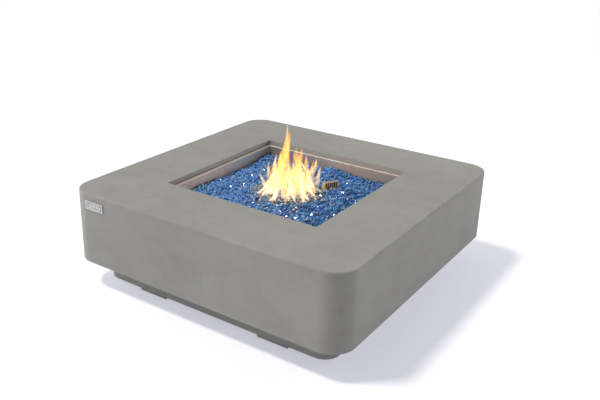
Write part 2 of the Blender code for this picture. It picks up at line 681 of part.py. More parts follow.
def valve_outlet():
    """The end of the valve's gas outlet stub, in the table's axes."""
    return Vector((KNOB_X, PANEL_FACE + VALVE_BACK - 0.014, PANEL_Z - 0.010))


def probe_socket():
    """The end of the valve's thermocouple stub, in the table's axes."""
    return Vector((KNOB_X, PANEL_FACE + VALVE_BACK - 0.008, PANEL_Z + 0.012))


def control_panel(frame):
    """A stainless pan let into the wall, its flange screwed to the outside."""
    body_x, body_y = PANEL_WIDTH / 2 - PANEL_FLANGE, PANEL_HEIGHT / 2 - PANEL_FLANGE
    flange_low = PANEL_RECESS - PANEL_FLANGE_THICKNESS
    pan = put("control_panel", block("panel", (-body_x, -body_y, -SHEET), (body_x, body_y, PANEL_RECESS)),
              STAINLESS, parent=frame)
    join(pan, "flange", block("panel_flange", (-PANEL_WIDTH / 2, -PANEL_HEIGHT / 2, flange_low),
                              (PANEL_WIDTH / 2, PANEL_HEIGHT / 2, PANEL_RECESS), PANEL_CORNER, 4), parent=frame)
    cut(pan, "recess", block("recess", (SHEET - body_x, SHEET - body_y, 0),
                             (body_x - SHEET, body_y - SHEET, PANEL_RECESS + REACH), 0.003, 3), parent=frame)
    neck = rod("neck_hole", NECK_RADIUS + 0.0005, -SHEET - REACH, REACH)
    barrel = rod("barrel_hole", IGNITER_BARREL + GAP, -SHEET - REACH, REACH)
    screw = rod("screw_hole", SCREW_RADIUS + GAP, flange_low - REACH, PANEL_RECESS + REACH, 12)
    places = [(neck, Matrix.Translation((KNOB_X, 0, 0))), (barrel, Matrix.Translation((IGNITER_X, 0, 0)))]
    places += [(screw, Matrix.Translation((x, PANEL_Z - z, 0))) for x, z in panel_screw_places()]
    cut(pan, "holes", gathered("holes", places), parent=frame)
    for number, (x, z) in enumerate(panel_screw_places(), 1):
        screw_in(f"panel_screw_{number}", (x, PANEL_Z - z, PANEL_RECESS + GAP), frame)


def screw_in(name, location, parent=None, length=SCREW_LENGTH):
    """A pan-head screw along Z, its head standing on the given point."""
    rim = SCREW_HEAD_RADIUS
    profile = [(0, SCREW_HEAD), (rim * 0.7, SCREW_HEAD), (rim, SCREW_HEAD * 0.5), (rim, 0), (SCREW_RADIUS, 0),
               (SCREW_RADIUS, 0.0015 - length), (0, -length)]
    return turned(name, profile, STAINLESS, steps=16, location=location, parent=parent)


def gas_valve(frame):
    """Valve body with a threaded neck through the panel, outlet and thermocouple stubs at its back and an
    inlet socket below."""
    half = VALVE_SIDE / 2
    place = {"parent": frame, "location": (KNOB_X, 0, 0)}
    valve = put("gas_valve", block("valve", (-half, -half, VALVE_BACK), (half, half, VALVE_FRONT), 0.004, 3),
                ALUMINIUM, **place)
    join(valve, "neck", rod("neck", NECK_RADIUS, VALVE_FRONT - 0.003, NECK_END), **place)
    outlet = {"parent": frame, "location": (KNOB_X, 0.010, 0)}
    join(valve, "outlet", rod("outlet", STUB_RADIUS, VALVE_BACK - 0.014, VALVE_BACK + 0.003), **outlet)
    cut(valve, "outlet_bore", rod("outlet_bore", 0.004, VALVE_BACK - 0.014 - REACH, VALVE_BACK + 0.006, 16), **outlet)
    join(valve, "probe_stub", rod("probe_stub", 0.0045, VALVE_BACK - 0.008, VALVE_BACK + 0.003, 16),
         parent=frame, location=(KNOB_X, -0.012, 0))
    cut(valve, "plug_seat", rod("plug_seat", PLUG_RADIUS + RUNNING, PLUG_BACK - 0.0005, PLUG_FRONT + 0.0005), **place)
    cut(valve, "stem_bore", rod("stem_bore", STEM_RADIUS + RUNNING, PLUG_FRONT - 0.003, NECK_END + REACH), **place)
    middle = (VALVE_FRONT + VALVE_BACK) / 2
    inlet = {"parent": frame, "location": (KNOB_X, half, middle), "rotation": (-math.pi / 2, 0, 0)}
    cut(valve, "inlet_socket", rod("inlet_socket", 0.0078, -0.008, REACH), **inlet)
    profile = [(0.0045, 0.024), (0.0060, 0.024), (0.0079, 0.0215), (0.0079, 0.008 + GAP), (0.0115, 0.008 + GAP),
               (0.0115, GAP), (0.0075, GAP), (0.0075, -0.0075), (0.0045, -0.0075)]
    turned("gas_inlet_fitting", profile, BRASS, ring=True, **inlet)
    nut = put("valve_neck_nut", hexagon("neck_nut", NECK_NUT_FLATS, GAP, GAP + NECK_NUT), BRASS, **place)
    cut(nut, "bore", rod("bore", NECK_RADIUS + RUNNING, -REACH, NECK_NUT + REACH), **place)
    nut = put("thermocouple_nut", hexagon("probe_nut", 0.012, VALVE_BACK - 0.013, VALVE_BACK - 0.001),
              BRASS, parent=frame, location=(KNOB_X, -0.012, 0))
    cut(nut, "socket", rod("socket", 0.0045 + RUNNING, VALVE_BACK - 0.0085, VALVE_BACK), parent=frame,
        location=(KNOB_X, -0.012, 0))
    cut(nut, "bore", rod("bore", PROBE_LEAD_RADIUS + RUNNING, VALVE_BACK - 0.013 - REACH, VALVE_BACK, 12),
        parent=frame, location=(KNOB_X, -0.012, 0))


def knob_and_plug(frame):
    """The plug turns in the valve; stem and knob turn with it and also push in along it."""
    place = {"parent": frame, "location": (KNOB_X, 0, 0)}
    bore = STEM_RADIUS + RUNNING
    bore_end = PLUG_FRONT - 0.015
    profile = [(bore, PLUG_FRONT), (PLUG_RADIUS, PLUG_FRONT), (PLUG_RADIUS, PLUG_BACK), (0, PLUG_BACK)]
    turned("valve_plug", [(0, bore_end), (bore, bore_end), *profile], BRASS, **place)
    stem_back = PLUG_FRONT - 0.010
    stem_front = KNOB_BASE + KNOB_HEIGHT * 0.7
    turned("valve_stem", [(0, stem_front - GAP), (STEM_RADIUS, stem_front - GAP), (STEM_RADIUS, stem_back),
                          (0, stem_back)], STAINLESS, steps=20, **place)
    radius, disc, top = KNOB_ACROSS / 2, KNOB_BASE + KNOB_DISC, KNOB_BASE + KNOB_HEIGHT
    knob = turned("control_knob", [(0, disc), (radius - 0.003, disc), (radius - 0.001, disc - 0.001),
                                   (radius, disc - 0.003), (radius, KNOB_BASE), (0, KNOB_BASE)],
                  BLACK_PLASTIC, steps=36, **place)
    grip_x, grip_y = KNOB_GRIP / 2, radius - 0.002
    join(knob, "grip", block("grip", (-grip_x, -grip_y, disc - 0.003), (grip_x, grip_y, top),
                             grip_x * 0.7, 4, top_scale=(0.8, 0.94)), **place)
    cut(knob, "bore", rod("bore", bore, KNOB_BASE - REACH, stem_front), **place)
    mark = KNOB_ACROSS * 0.25
    slot_low = top - 0.001
    cut(knob, "mark_slot", block("mark_slot", (-0.001, -grip_y * 0.88, slot_low), (0.001, mark - grip_y, top + REACH)),
        **place)
    put("knob_pointer", block("pointer", (GAP - 0.001, GAP - grip_y * 0.88, slot_low + GAP),
                              (0.001 - GAP, mark - grip_y - GAP, top)), WHITE_PAINT, **place)


def igniter(frame):
    """Battery igniter: a threaded barrel with its nut behind the panel, a battery on a spring, and a
    screw cap that carries the push button."""
    place = {"parent": frame, "location": (IGNITER_X, 0, 0)}
    flange_top = 0.003 + GAP
    turned("igniter_housing", [(0, CAVITY_BACK), (IGNITER_BORE, CAVITY_BACK), (IGNITER_BORE, flange_top),
                               (IGNITER_FLANGE, flange_top), (IGNITER_FLANGE, GAP), (IGNITER_BARREL, GAP),
                               (IGNITER_BARREL, BARREL_BACK), (0, BARREL_BACK)], BLACK_PLASTIC, **place)
    nut = put("igniter_nut", hexagon("igniter_nut", 2 * IGNITER_FLANGE, VALVE_FRONT - 0.005, VALVE_FRONT),
              BLACK_PLASTIC, **place)
    cut(nut, "bore", rod("bore", IGNITER_BARREL + RUNNING, VALVE_FRONT - 0.005 - REACH, REACH), **place)
    battery_back = BATTERY_FRONT - BATTERY_LENGTH
    turned("igniter_battery", [(0, BATTERY_FRONT), (0.0027, BATTERY_FRONT), (0.0027, BATTERY_FRONT - 0.001),
                               (BATTERY_RADIUS - 0.0006, BATTERY_FRONT - 0.001),
                               (BATTERY_RADIUS, BATTERY_FRONT - 0.0016), (BATTERY_RADIUS, battery_back),
                               (0, battery_back)], ALUMINIUM, **place)
    wire, turns, per_turn = 0.0004, 3.5, 14
    low, high = CAVITY_BACK + wire + GAP, battery_back - wire - GAP
    count = round(turns * per_turn)
    coil = []
    for i in range(count + 1):
        share, angle = i / count, 2 * math.pi * i / per_turn
        radius = BATTERY_RADIUS - 0.00145 - 0.002 * share
        coil.append((radius * math.cos(angle), radius * math.sin(angle), low + (high - low) * share))
    tube("battery_spring", coil, wire, STAINLESS, **place)
    cap_top = CAP_SEAT + CAP_HEIGHT
    shoulder = CAP_SEAT + CAP_HEIGHT * 0.35
    plug, hole, well = IGNITER_BORE - RUNNING, BUTTON_RADIUS + RUNNING, BUTTON_RADIUS + 0.0016
    cap_back = BATTERY_FRONT + 0.0004
    turned("igniter_cap", [(hole, cap_top), (CAP_RADIUS - 0.001, cap_top), (CAP_RADIUS, cap_top - 0.001),
                           (CAP_RADIUS, CAP_SEAT), (plug, CAP_SEAT), (plug, cap_back), (well, cap_back),
                           (well, shoulder), (hole, shoulder)], BLACK_PLASTIC, steps=36, ring=True, **place)
    collar, collar_top = well - RUNNING, shoulder - GAP
    button_top = cap_top + BUTTON_STANDING
    turned("igniter_button", [(0, button_top), (BUTTON_RADIUS - 0.0012, button_top),
                              (BUTTON_RADIUS, button_top - 0.0012), (BUTTON_RADIUS, collar_top),
                              (collar, collar_top), (collar, collar_top - 0.0015), (0, collar_top - 0.0015)],
           STAINLESS, **place)


# Pilot assembly, in a frame of its own axes on the tray's floor


def pilot(frame):
    """A Z-shaped bracket holds the spark electrode and the thermocouple."""
    base = TRAY_FLOOR + GAP
    shelf = base + 0.022
    sheet = SHEET
    bracket = put("pilot_bracket", block("bracket_web", (-0.018, 0.0095, base), (0.018, 0.0095 + sheet, shelf)),
                  STAINLESS, parent=frame)
    join(bracket, "foot", block("foot", (-0.018, 0.0095, base), (0.018, 0.0205, base + sheet)), parent=frame)
    join(bracket, "shelf", block("shelf", (-0.018, -0.0075, shelf - sheet), (0.018, 0.0095 + sheet, shelf)),
         parent=frame)
    spark_x, probe_x = -PROBE_SPACING / 2, PROBE_SPACING / 2
    holes = [(rod("spark", INSULATOR_RADIUS + GAP, shelf - REACH, shelf + REACH, 16),
              Matrix.Translation((spark_x, 0, 0))),
             (rod("probe", PROBE_RADIUS + GAP, shelf - REACH, shelf + REACH, 16),
              Matrix.Translation((probe_x, 0, 0))),
             (rod("screw", SCREW_RADIUS + GAP, base - REACH, base + 0.005, 10),
              Matrix.Translation((0, 0.0155, 0)))]
    cut(bracket, "holes", gathered("holes", holes), parent=frame)
    low, collar = base + 0.010, shelf + 0.003
    top = GUARD_TOP - 0.026
    turned("electrode_insulator", [(0, top), (INSULATOR_RADIUS - 0.001, top), (INSULATOR_RADIUS, top - 0.002),
                                   (INSULATOR_RADIUS, collar), (INSULATOR_RADIUS + 0.0015, collar),
                                   (INSULATOR_RADIUS + 0.0015, shelf + GAP), (INSULATOR_RADIUS, shelf + GAP),
                                   (INSULATOR_RADIUS, low), (0, low)], CERAMIC, steps=20,
           location=(spark_x, 0, 0), parent=frame)
    bend = [(spark_x, 0, top + GAP), (spark_x, 0, top + 0.010), (spark_x + 0.002, 0, top + 0.0145),
            (spark_x + 0.007, 0, top + 0.016), (spark_x + 0.013, 0, top + 0.016)]
    tube("electrode_rod", smooth_route(bend, 0.003), ELECTRODE_RADIUS, STAINLESS, parent=frame)
    tip = GUARD_TOP - 0.012
    turned("thermocouple_tip", [(0, tip), (0.0012, tip - 0.0006), (0.0020, tip - 0.004),
                                (0.0020, collar + 0.006), (PROBE_RADIUS, collar + 0.004), (PROBE_RADIUS, collar),
                                (PROBE_RADIUS + 0.0015, collar), (PROBE_RADIUS + 0.0015, shelf + GAP),
                                (PROBE_RADIUS, shelf + GAP), (PROBE_RADIUS, low), (0, low)], COPPER, steps=20,
           location=(probe_x, 0, 0), parent=frame)
    screw_in("bracket_screw", (0, 0.0155, base + sheet + GAP), frame, 0.008)


def guard_shape(name, inset, low, high):
    """The guard's tapered box, drawn in by its sheet."""
    x, y = GUARD_LENGTH / 2 - inset, GUARD_FOOT_DEPTH / 2 - inset
    narrowing = (GUARD_TOP_DEPTH / 2 - inset) / y
    return block(name, (-x, -y, low), (x, y, high), 0.001, 1, top_scale=(1.0, narrowing))


def pilot_guard(frame):
    """A folded hood with slots across its top and down both sides, on two screwed lugs."""
    base = TRAY_FLOOR + GAP
    guard = put("pilot_guard", guard_shape("guard", 0, base, GUARD_TOP), STAINLESS, parent=frame)
    reach = GUARD_LENGTH / 2 + GUARD_LUG
    join(guard, "lugs", block("lugs", (-reach, -0.008, base), (reach, 0.008, base + GUARD_SHEET)), parent=frame)
    cut(guard, "inside", guard_shape("inside", GUARD_SHEET, base - GAP, GUARD_TOP - GUARD_SHEET), parent=frame)
    slot = block("slot", (-SLOT_WIDTH / 2, -GUARD_FOOT_DEPTH, GUARD_TOP - SLOT_DEPTH),
                 (SLOT_WIDTH / 2, GUARD_FOOT_DEPTH, GUARD_TOP + REACH))
    first = SLOT_MARGIN - GUARD_LENGTH / 2
    pitch = -2 * first / (SLOT_COUNT - 1)
    bridge = GUARD_TOP_DEPTH * 0.12
    places = []
    for i in range(SLOT_COUNT):
        x = first + i * pitch
        for side in (-1, 1):
            shift = side * (GUARD_FOOT_DEPTH + bridge)
            places.append((slot, Matrix.Translation((x, shift, 0))))
    cut(guard, "slots", gathered("slots", places), parent=frame)
    holes = [(rod("hole", SCREW_RADIUS + GAP, base - REACH, base + REACH, 10), Matrix.Translation((side * x, 0, 0)))
             for side, x in ((-1, reach - GUARD_LUG / 2), (1, reach - GUARD_LUG / 2))]
    cut(guard, "holes", gathered("holes", holes), parent=frame)
    for side, x in (("left", GUARD_LUG / 2 - reach), ("right", reach - GUARD_LUG / 2)):
        screw_in(f"guard_screw_{side}", (x, 0, base + GUARD_SHEET + GAP), frame, 0.008)


def leads():
    """The spark lead and the thermocouple's capillary, under the tray from the controls to the pilot."""
    rise = TRAY_FLOOR + 0.010
    beside_tray = (TRAY_HALF + PANEL_FACE + BARREL_BACK) / 2
    runs = (("igniter_lead", Vector((IGNITER_X, PANEL_FACE + BARREL_BACK - GAP, PANEL_Z)),
             pilot_point(-PROBE_SPACING / 2, 0), HV_LEAD_RADIUS, SILICONE),
            ("thermocouple_lead", probe_socket() - Vector((0, GAP, 0)), pilot_point(PROBE_SPACING / 2, 0),
             PROBE_LEAD_RADIUS, COPPER))
    for name, start, under, radius, finish in runs:
        bend = 0.018
        route = [start, start - Vector((0, 0.016, 0)), Vector((start.x, beside_tray, (start.z + LEAD_Z) / 2)),
                 Vector((start.x, TRAY_HALF - 0.010, LEAD_Z)),
                 Vector((under.x, under.y + 2.2 * bend, LEAD_Z)), Vector((under.x, under.y + 0.35 * bend, LEAD_Z + 0.003)),
                 Vector((under.x, under.y, LEAD_Z + LEAD_DROP)), Vector((under.x, under.y, rise))]
        tube(name, smooth_route(route, max(0.006, 3 * radius)), radius, finish)


def fire_glass():
    """The bed of glass chips as one solid: level at its edges, softly heaped, hollow under the burner."""
    half = TRAY_INNER - GLASS_CLEARANCE
    low = TRAY_FLOOR + GAP
    bm = bmesh.new()
    bmesh.ops.create_grid(bm, x_segments=GLASS_CELLS, y_segments=GLASS_CELLS, size=half)
    top = bmesh.ops.extrude_face_region(bm, geom=bm.faces[:])["geom"]
    for vert in (item for item in top if isinstance(item, bmesh.types.BMVert)):
        vert.co.z = GLASS_LEVEL + glass_heap(vert.co.x, vert.co.y) - low
    flat = [face for face in bm.faces if all(abs(v.co.z) < 1e-6 for v in face.verts)]
    bmesh.ops.dissolve_faces(bm, faces=flat)
    bmesh.ops.translate(bm, verts=bm.verts, vec=(0, 0, low))
    bmesh.ops.recalc_face_normals(bm, faces=bm.faces)
    bed = put("fire_glass", finished(bm, "fire_glass"), GLASS)
    trim = put("trim_glass_corners", block("trim", (-half, -half, low - REACH), (half, half, TABLE_HEIGHT),
                                           TRAY_CORNER - SHEET, 4), None)
    boolean(bed, "INTERSECT", trim)
    clear = 0.0006
    ring = washer("cut_ring_groove", RING_RADIUS - RING_TUBE - clear, RING_RADIUS + RING_TUBE + clear,
                  low - REACH, RING_Z + RING_TUBE + clear, None, steps=40)
    boolean(bed, "DIFFERENCE", ring)
    cut(bed, "hub_well", rod("hub_well", HUB_RADIUS + 0.002, low - REACH, HUB_TOP + clear))
    cut(bed, "crossbar_groove", block("groove", (-RING_RADIUS, -CROSSBAR_TUBE - clear, low - REACH),
                                      (RING_RADIUS, CROSSBAR_TUBE + clear, RING_Z + CROSSBAR_TUBE + clear)))
    turn = {"location": pilot_place(), "rotation": (0, 0, PILOT_TURN)}
    side, depth = GUARD_LENGTH / 2 + clear, GUARD_FOOT_DEPTH / 2 + clear
    cut(bed, "pilot_pocket", block("pocket", (-side, -depth, low - REACH), (side, depth, TABLE_HEIGHT)), **turn)
    side += GUARD_LUG
    cut(bed, "lug_pocket", block("lug_pocket", (-side, -0.009, low - REACH), (side, 0.009, low + 0.006)), **turn)


def glass_heap(x, y):
    """Height of the bed above its level: low waves that die out at the walls."""
    half = TRAY_INNER
    fade = max(0.0, (1 - (x / half) ** 8) * (1 - (y / half) ** 8))
    waves = math.sin(9 * x + 1.3) * math.cos(11 * y - 0.4) + 0.6 * math.sin(21 * x - 14 * y)
    return GLASS_MOUND * (0.35 * fade + 0.5 * waves * fade)


def build():
    concrete_body()
    name_plate()
    base_plate()
    base_plinth()
    base_bolts()
    hose_grommet()
    burner_tray()
    ring_burner()
    burner_standoffs()
    burner_feed()
    gas_line()
    panel = panel_frame()
    control_panel(panel)
    gas_valve(panel)
    knob_and_plug(panel)
    igniter(panel)
    pilot_axes = frame_at("pilot_frame", pilot_place(), (0, 0, PILOT_TURN))
    pilot(pilot_axes)
    pilot_guard(pilot_axes)
    leads()
    fire_glass()


build()
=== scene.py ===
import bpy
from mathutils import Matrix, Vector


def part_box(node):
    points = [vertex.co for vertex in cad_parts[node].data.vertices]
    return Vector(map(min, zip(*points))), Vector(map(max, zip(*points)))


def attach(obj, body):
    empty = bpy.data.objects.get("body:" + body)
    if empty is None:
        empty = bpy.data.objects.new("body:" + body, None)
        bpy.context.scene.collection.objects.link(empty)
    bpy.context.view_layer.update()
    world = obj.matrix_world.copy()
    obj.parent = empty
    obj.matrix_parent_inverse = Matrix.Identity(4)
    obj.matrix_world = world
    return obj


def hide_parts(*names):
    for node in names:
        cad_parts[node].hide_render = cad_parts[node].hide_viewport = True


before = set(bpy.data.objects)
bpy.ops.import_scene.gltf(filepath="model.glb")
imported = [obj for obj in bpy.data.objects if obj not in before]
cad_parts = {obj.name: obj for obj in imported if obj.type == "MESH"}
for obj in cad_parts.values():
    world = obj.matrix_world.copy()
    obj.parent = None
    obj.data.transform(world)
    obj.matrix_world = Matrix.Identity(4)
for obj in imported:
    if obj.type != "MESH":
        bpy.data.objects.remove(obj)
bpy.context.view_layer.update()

import contextlib
import math
import random

import bmesh
import bpy
import numpy as np
from mathutils import Matrix, Vector

# Where the table is seen from: in front of its right-hand corner, a standing person's height above the
# ground, with the fire well open to view.
VIEW_AZIMUTH, VIEW_HEIGHT_ANGLE, VIEW_ROLL = (math.radians(angle) for angle in (35.075, 21.416, 0.845))
VIEW_DISTANCE = 2.582
VIEW_TARGET = Vector((-0.008, -0.115, 0.35))
LENS_MM = 45.38
FRAMING = (0.052, -0.0232)


def placed(name, data):
    """A new object for a camera, light, curve or mesh, put in the scene."""
    made = bpy.data.objects.new(name, data)
    bpy.context.scene.collection.objects.link(made)
    return made


toward_eye = Vector((math.sin(VIEW_AZIMUTH) * math.cos(VIEW_HEIGHT_ANGLE),
                     -math.cos(VIEW_AZIMUTH) * math.cos(VIEW_HEIGHT_ANGLE), math.sin(VIEW_HEIGHT_ANGLE)))
across = Vector((0, 0, 1)).cross(toward_eye).normalized()
upward = toward_eye.cross(across)
turned_across = math.cos(VIEW_ROLL) * across + math.sin(VIEW_ROLL) * upward
turned_upward = math.cos(VIEW_ROLL) * upward - math.sin(VIEW_ROLL) * across
camera = placed("camera", bpy.data.cameras.new("camera"))
camera.matrix_world = Matrix.Translation(VIEW_TARGET + VIEW_DISTANCE * toward_eye) @ Matrix(
    (turned_across, turned_upward, toward_eye)).transposed().to_4x4()
camera.data.lens = LENS_MM
camera.data.shift_x, camera.data.shift_y = FRAMING
bpy.context.scene.camera = camera
bpy.context.scene.view_settings.view_transform = "Standard"

# The floor is plain white paper under one high light from the front and left, and a weaker soft light from
# behind on the right. The room behind the eye is dim, so the corner between them falls into shade.
SURROUND, DIM_SIDE = 0.52, 0.0
DIM_TOWARD, DIM_FROM, DIM_TO = Vector((0.78, -0.62, 0.0)), -0.35, 0.75
HORIZON_WHITE_TO, HORIZON_FADED_BY = 0.04, 0.09
FLOOR_WHITE, FLOOR_GLOW = (0.60, 0.60, 0.61), (0.425, 0.425, 0.485)
KEY_FROM, KEY_POWER, KEY_SPREAD = Vector((-0.35, -0.27, 0.90)), 2.3, 9
SOFT_LIGHTS = (("side_light", Vector((2.2, 3.0, 1.2)), 1.6, 46),
               ("left_light", Vector((-2.7, -1.15, 0.75)), 1.2, 26))
KEY_COLOUR, SOFT_COLOUR = (1.0, 0.985, 0.96), (0.99, 0.985, 1.0)

world = bpy.data.worlds.new("surround")
world.use_nodes = True
links, nodes = world.node_tree.links, world.node_tree.nodes
direction, toward_dim, fall = (nodes.new("ShaderNode" + kind) for kind in ("TexCoord", "VectorMath", "MapRange"))
toward_dim.operation = "DOT_PRODUCT"
toward_dim.inputs[1].default_value = DIM_TOWARD.normalized()
links.new(direction.outputs["Generated"], toward_dim.inputs[0])
links.new(toward_dim.outputs["Value"], fall.inputs["Value"])
fall.interpolation_type = "SMOOTHSTEP"
for socket, value in (("From Min", DIM_FROM), ("From Max", DIM_TO), ("To Min", SURROUND), ("To Max", DIM_SIDE)):
    fall.inputs[socket].default_value = value
rise, horizon, shown = (nodes.new("ShaderNode" + kind) for kind in ("SeparateXYZ", "MapRange", "Math"))
links.new(direction.outputs["Generated"], rise.inputs[0])
links.new(rise.outputs["Z"], horizon.inputs["Value"])
for socket, value in (("From Min", HORIZON_WHITE_TO), ("From Max", HORIZON_FADED_BY), ("To Min", 1.0),
                      ("To Max", 0.0)):
    horizon.inputs[socket].default_value = value
shown.operation = "MAXIMUM"
links.new(fall.outputs["Result"], shown.inputs[0])
links.new(horizon.outputs["Result"], shown.inputs[1])
links.new(shown.outputs[0], nodes["Background"].inputs["Strength"])
nodes["Background"].inputs["Color"].default_value = (0.97, 0.98, 1.0, 1)
bpy.context.scene.world = world
key_light = placed("key_light", bpy.data.lights.new("key_light", "SUN"))
key_light.data.energy, key_light.data.angle = KEY_POWER, math.radians(KEY_SPREAD)
key_light.data.color = KEY_COLOUR
shining = [(key_light, 3 * KEY_FROM)]
for name, place, size, power in SOFT_LIGHTS:
    light = placed(name, bpy.data.lights.new(name, "AREA"))
    light.data.energy, light.data.size, light.data.color = power, size, SOFT_COLOUR
    shining.append((light, place))
for light, place in shining:
    light.location = place
    light.rotation_euler = (Vector((0, 0, 0.2)) - place).to_track_quat("-Z", "Y").to_euler()

bpy.ops.object.select_all(action="DESELECT")
bpy.ops.mesh.primitive_plane_add(size=60, location=(0, 0, -0.0005))
floor = bpy.context.object
floor.name = "paper_floor"
paper = bpy.data.materials.new("white_paper")
paper.use_nodes = True
paper_shader = paper.node_tree.nodes["Principled BSDF"]
paper_shader.inputs["Base Color"].default_value = (*FLOOR_WHITE, 1)
paper_shader.inputs["Roughness"].default_value = 0.9
paper_shader.inputs["Emission Color"].default_value = (*FLOOR_GLOW, 1)
paper_shader.inputs["Emission Strength"].default_value = 1.0
floor.data.materials.append(paper)


# The drum is one casting of glass-fibre concrete: a top slab with a rebated square opening, and a skirt
# that turns down all round it. It is cast face down in a smooth mould, so only fine pores and soft clouds
# of colour show.
DRUM_LOW, DRUM_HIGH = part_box("concrete_body")
DRUM_CORNER = 0.080
SKIRT_WALL = 0.022
SLAB = 0.030
TOP_ROUNDING = 0.0045
FOOT_ROUNDING = 0.0040
OPENING_HALF, OPENING_CORNER, OPENING_ROUNDING = 0.3025, 0.008, 0.0022
LEDGE_Z, THROAT_HALF = 0.3297, 0.2910
RIM_HALF, RIM_LOW = 0.3465, 0.300
BOSS_EDGE, BOSS_TOP = 0.370, 0.165
RECESS_TOP, BELOW_SKIRT = 0.1053, 0.05
OUTER_ARRIS, CORNER_ARRIS, OPENING_ARRIS = 0.44, 0.706, 0.31
WINDOW_MARGIN = 0.011
CONCRETE_DARK, CONCRETE_LIGHT = (0.256, 0.252, 0.228), (0.308, 0.304, 0.278)


@contextlib.contextmanager
def editing(piece):
    """Edit mode on one piece, with nothing else selected."""
    bpy.ops.object.select_all(action="DESELECT")
    bpy.context.view_layer.objects.active = piece
    piece.select_set(True)
    bpy.ops.object.mode_set(mode="EDIT")
    yield
    bpy.ops.object.mode_set(mode="OBJECT")


def pick(piece, kind, test):
    """Selects just the piece's vertices, edges or faces that pass the test."""
    bpy.ops.mesh.select_mode(type=kind)
    bpy.ops.mesh.select_all(action="DESELECT")
    shape = bmesh.from_edit_mesh(piece.data)
    for item in {"VERT": shape.verts, "EDGE": shape.edges, "FACE": shape.faces}[kind]:
        if test(item):
            item.select_set(True)
    bmesh.update_edit_mesh(piece.data)


def cube_between(name, low, high):
    """A cube primitive between two corners."""
    bpy.ops.object.select_all(action="DESELECT")
    low, high = Vector(low), Vector(high)
    bpy.ops.mesh.primitive_cube_add(size=1, location=(low + high) / 2)
    piece = bpy.context.object
    piece.name = piece.data.name = name
    piece.scale = high - low
    bpy.ops.object.transform_apply(location=True, rotation=True, scale=True)
    return piece


def upright(edge):
    a, b = (vert.co for vert in edge.verts)
    return abs(a.x - b.x) < 1e-5 and abs(a.y - b.y) < 1e-5


def rounded_cube(name, low, high, radius, segments=8):
    """A cube primitive with its upright edges rounded."""
    piece = cube_between(name, low, high)
    with editing(piece):
        pick(piece, "EDGE", upright)
        bpy.ops.mesh.bevel(offset=radius, segments=segments, affect="EDGES")
    return piece


def centred(name, half, bottom, top, radius, segments=8):
    """A rounded square block round the table's axis, between two heights."""
    return rounded_cube(name, (-half, -half, bottom), (half, half, top), radius, segments)


def carve(piece, *others, operation="DIFFERENCE"):
    """Cuts or joins other shapes, which are used up."""
    for other in others:
        bpy.context.view_layer.objects.active = piece
        modifier = piece.modifiers.new("carve", "BOOLEAN")
        modifier.operation, modifier.object, modifier.solver = operation, other, "EXACT"
        bpy.ops.object.modifier_apply(modifier=modifier.name)
        bpy.data.objects.remove(other)


def square_reach(at):
    """How far a point stands out from the table's axis, as a square measures it."""
    return max(abs(at.x), abs(at.y))


def round_edges(piece, radius, segments, test):
    """Rounds the sharp edges whose ends both pass the test."""
    with editing(piece):
        pick(piece, "EDGE", lambda edge: len(edge.link_faces) == 2 and edge.calc_face_angle(0) > 0.6
             and all(test(vert.co) for vert in edge.verts))
        bpy.ops.mesh.bevel(offset=radius, segments=segments, affect="EDGES", clamp_overlap=True)


def shade(piece, angle=40):
    """Smooth shading up to an angle, with the flat faces kept flat."""
    bpy.ops.object.select_all(action="DESELECT")
    bpy.context.view_layer.objects.active = piece
    piece.select_set(True)
    bpy.ops.object.shade_smooth_by_angle(angle=math.radians(angle))
    piece.modifiers.new("flat_faces", "WEIGHTED_NORMAL").keep_sharp = True
    bpy.ops.object.modifier_apply(modifier="flat_faces")


def finish_piece(piece, material, body, slot, *nodes):
    """Gives a finished piece its material and its body, and hides the nodes it stands for. Its slot is not used."""
    piece.data.materials.clear()
    piece.data.materials.append(material)
    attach(piece, body)
    if nodes:
        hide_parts(*nodes)


class Value:
    """A node's output that adds a Math node when it is reckoned with."""

    def __init__(self, finish, socket):
        self.finish, self.socket = finish, socket

    def reckon(self, operation, *inputs):
        return self.finish.node("Math", {"operation": operation}, list(inputs))

    def __add__(self, other):
        return self.reckon("ADD", self, other)

    def __sub__(self, other):
        return self.reckon("SUBTRACT", self, other)

    def __rsub__(self, other):
        return self.reckon("SUBTRACT", other, self)

    def __mul__(self, other):
        return self.reckon("MULTIPLY", self, other)

    def __pow__(self, other):
        return self.reckon("POWER", self, other)

    def __abs__(self):
        return self.reckon("ABSOLUTE", self)

    __radd__, __rmul__ = __add__, __mul__

    def most(self, other):
        return self.reckon("MAXIMUM", self, other)

    def least(self, other):
        return self.reckon("MINIMUM", self, other)

    def between(self, low, high):
        """0 below low, 1 above high, and smooth between them."""
        return self.finish.node("MapRange", {"interpolation_type": "SMOOTHSTEP"},
                                {"Value": self, "From Min": low, "From Max": high})


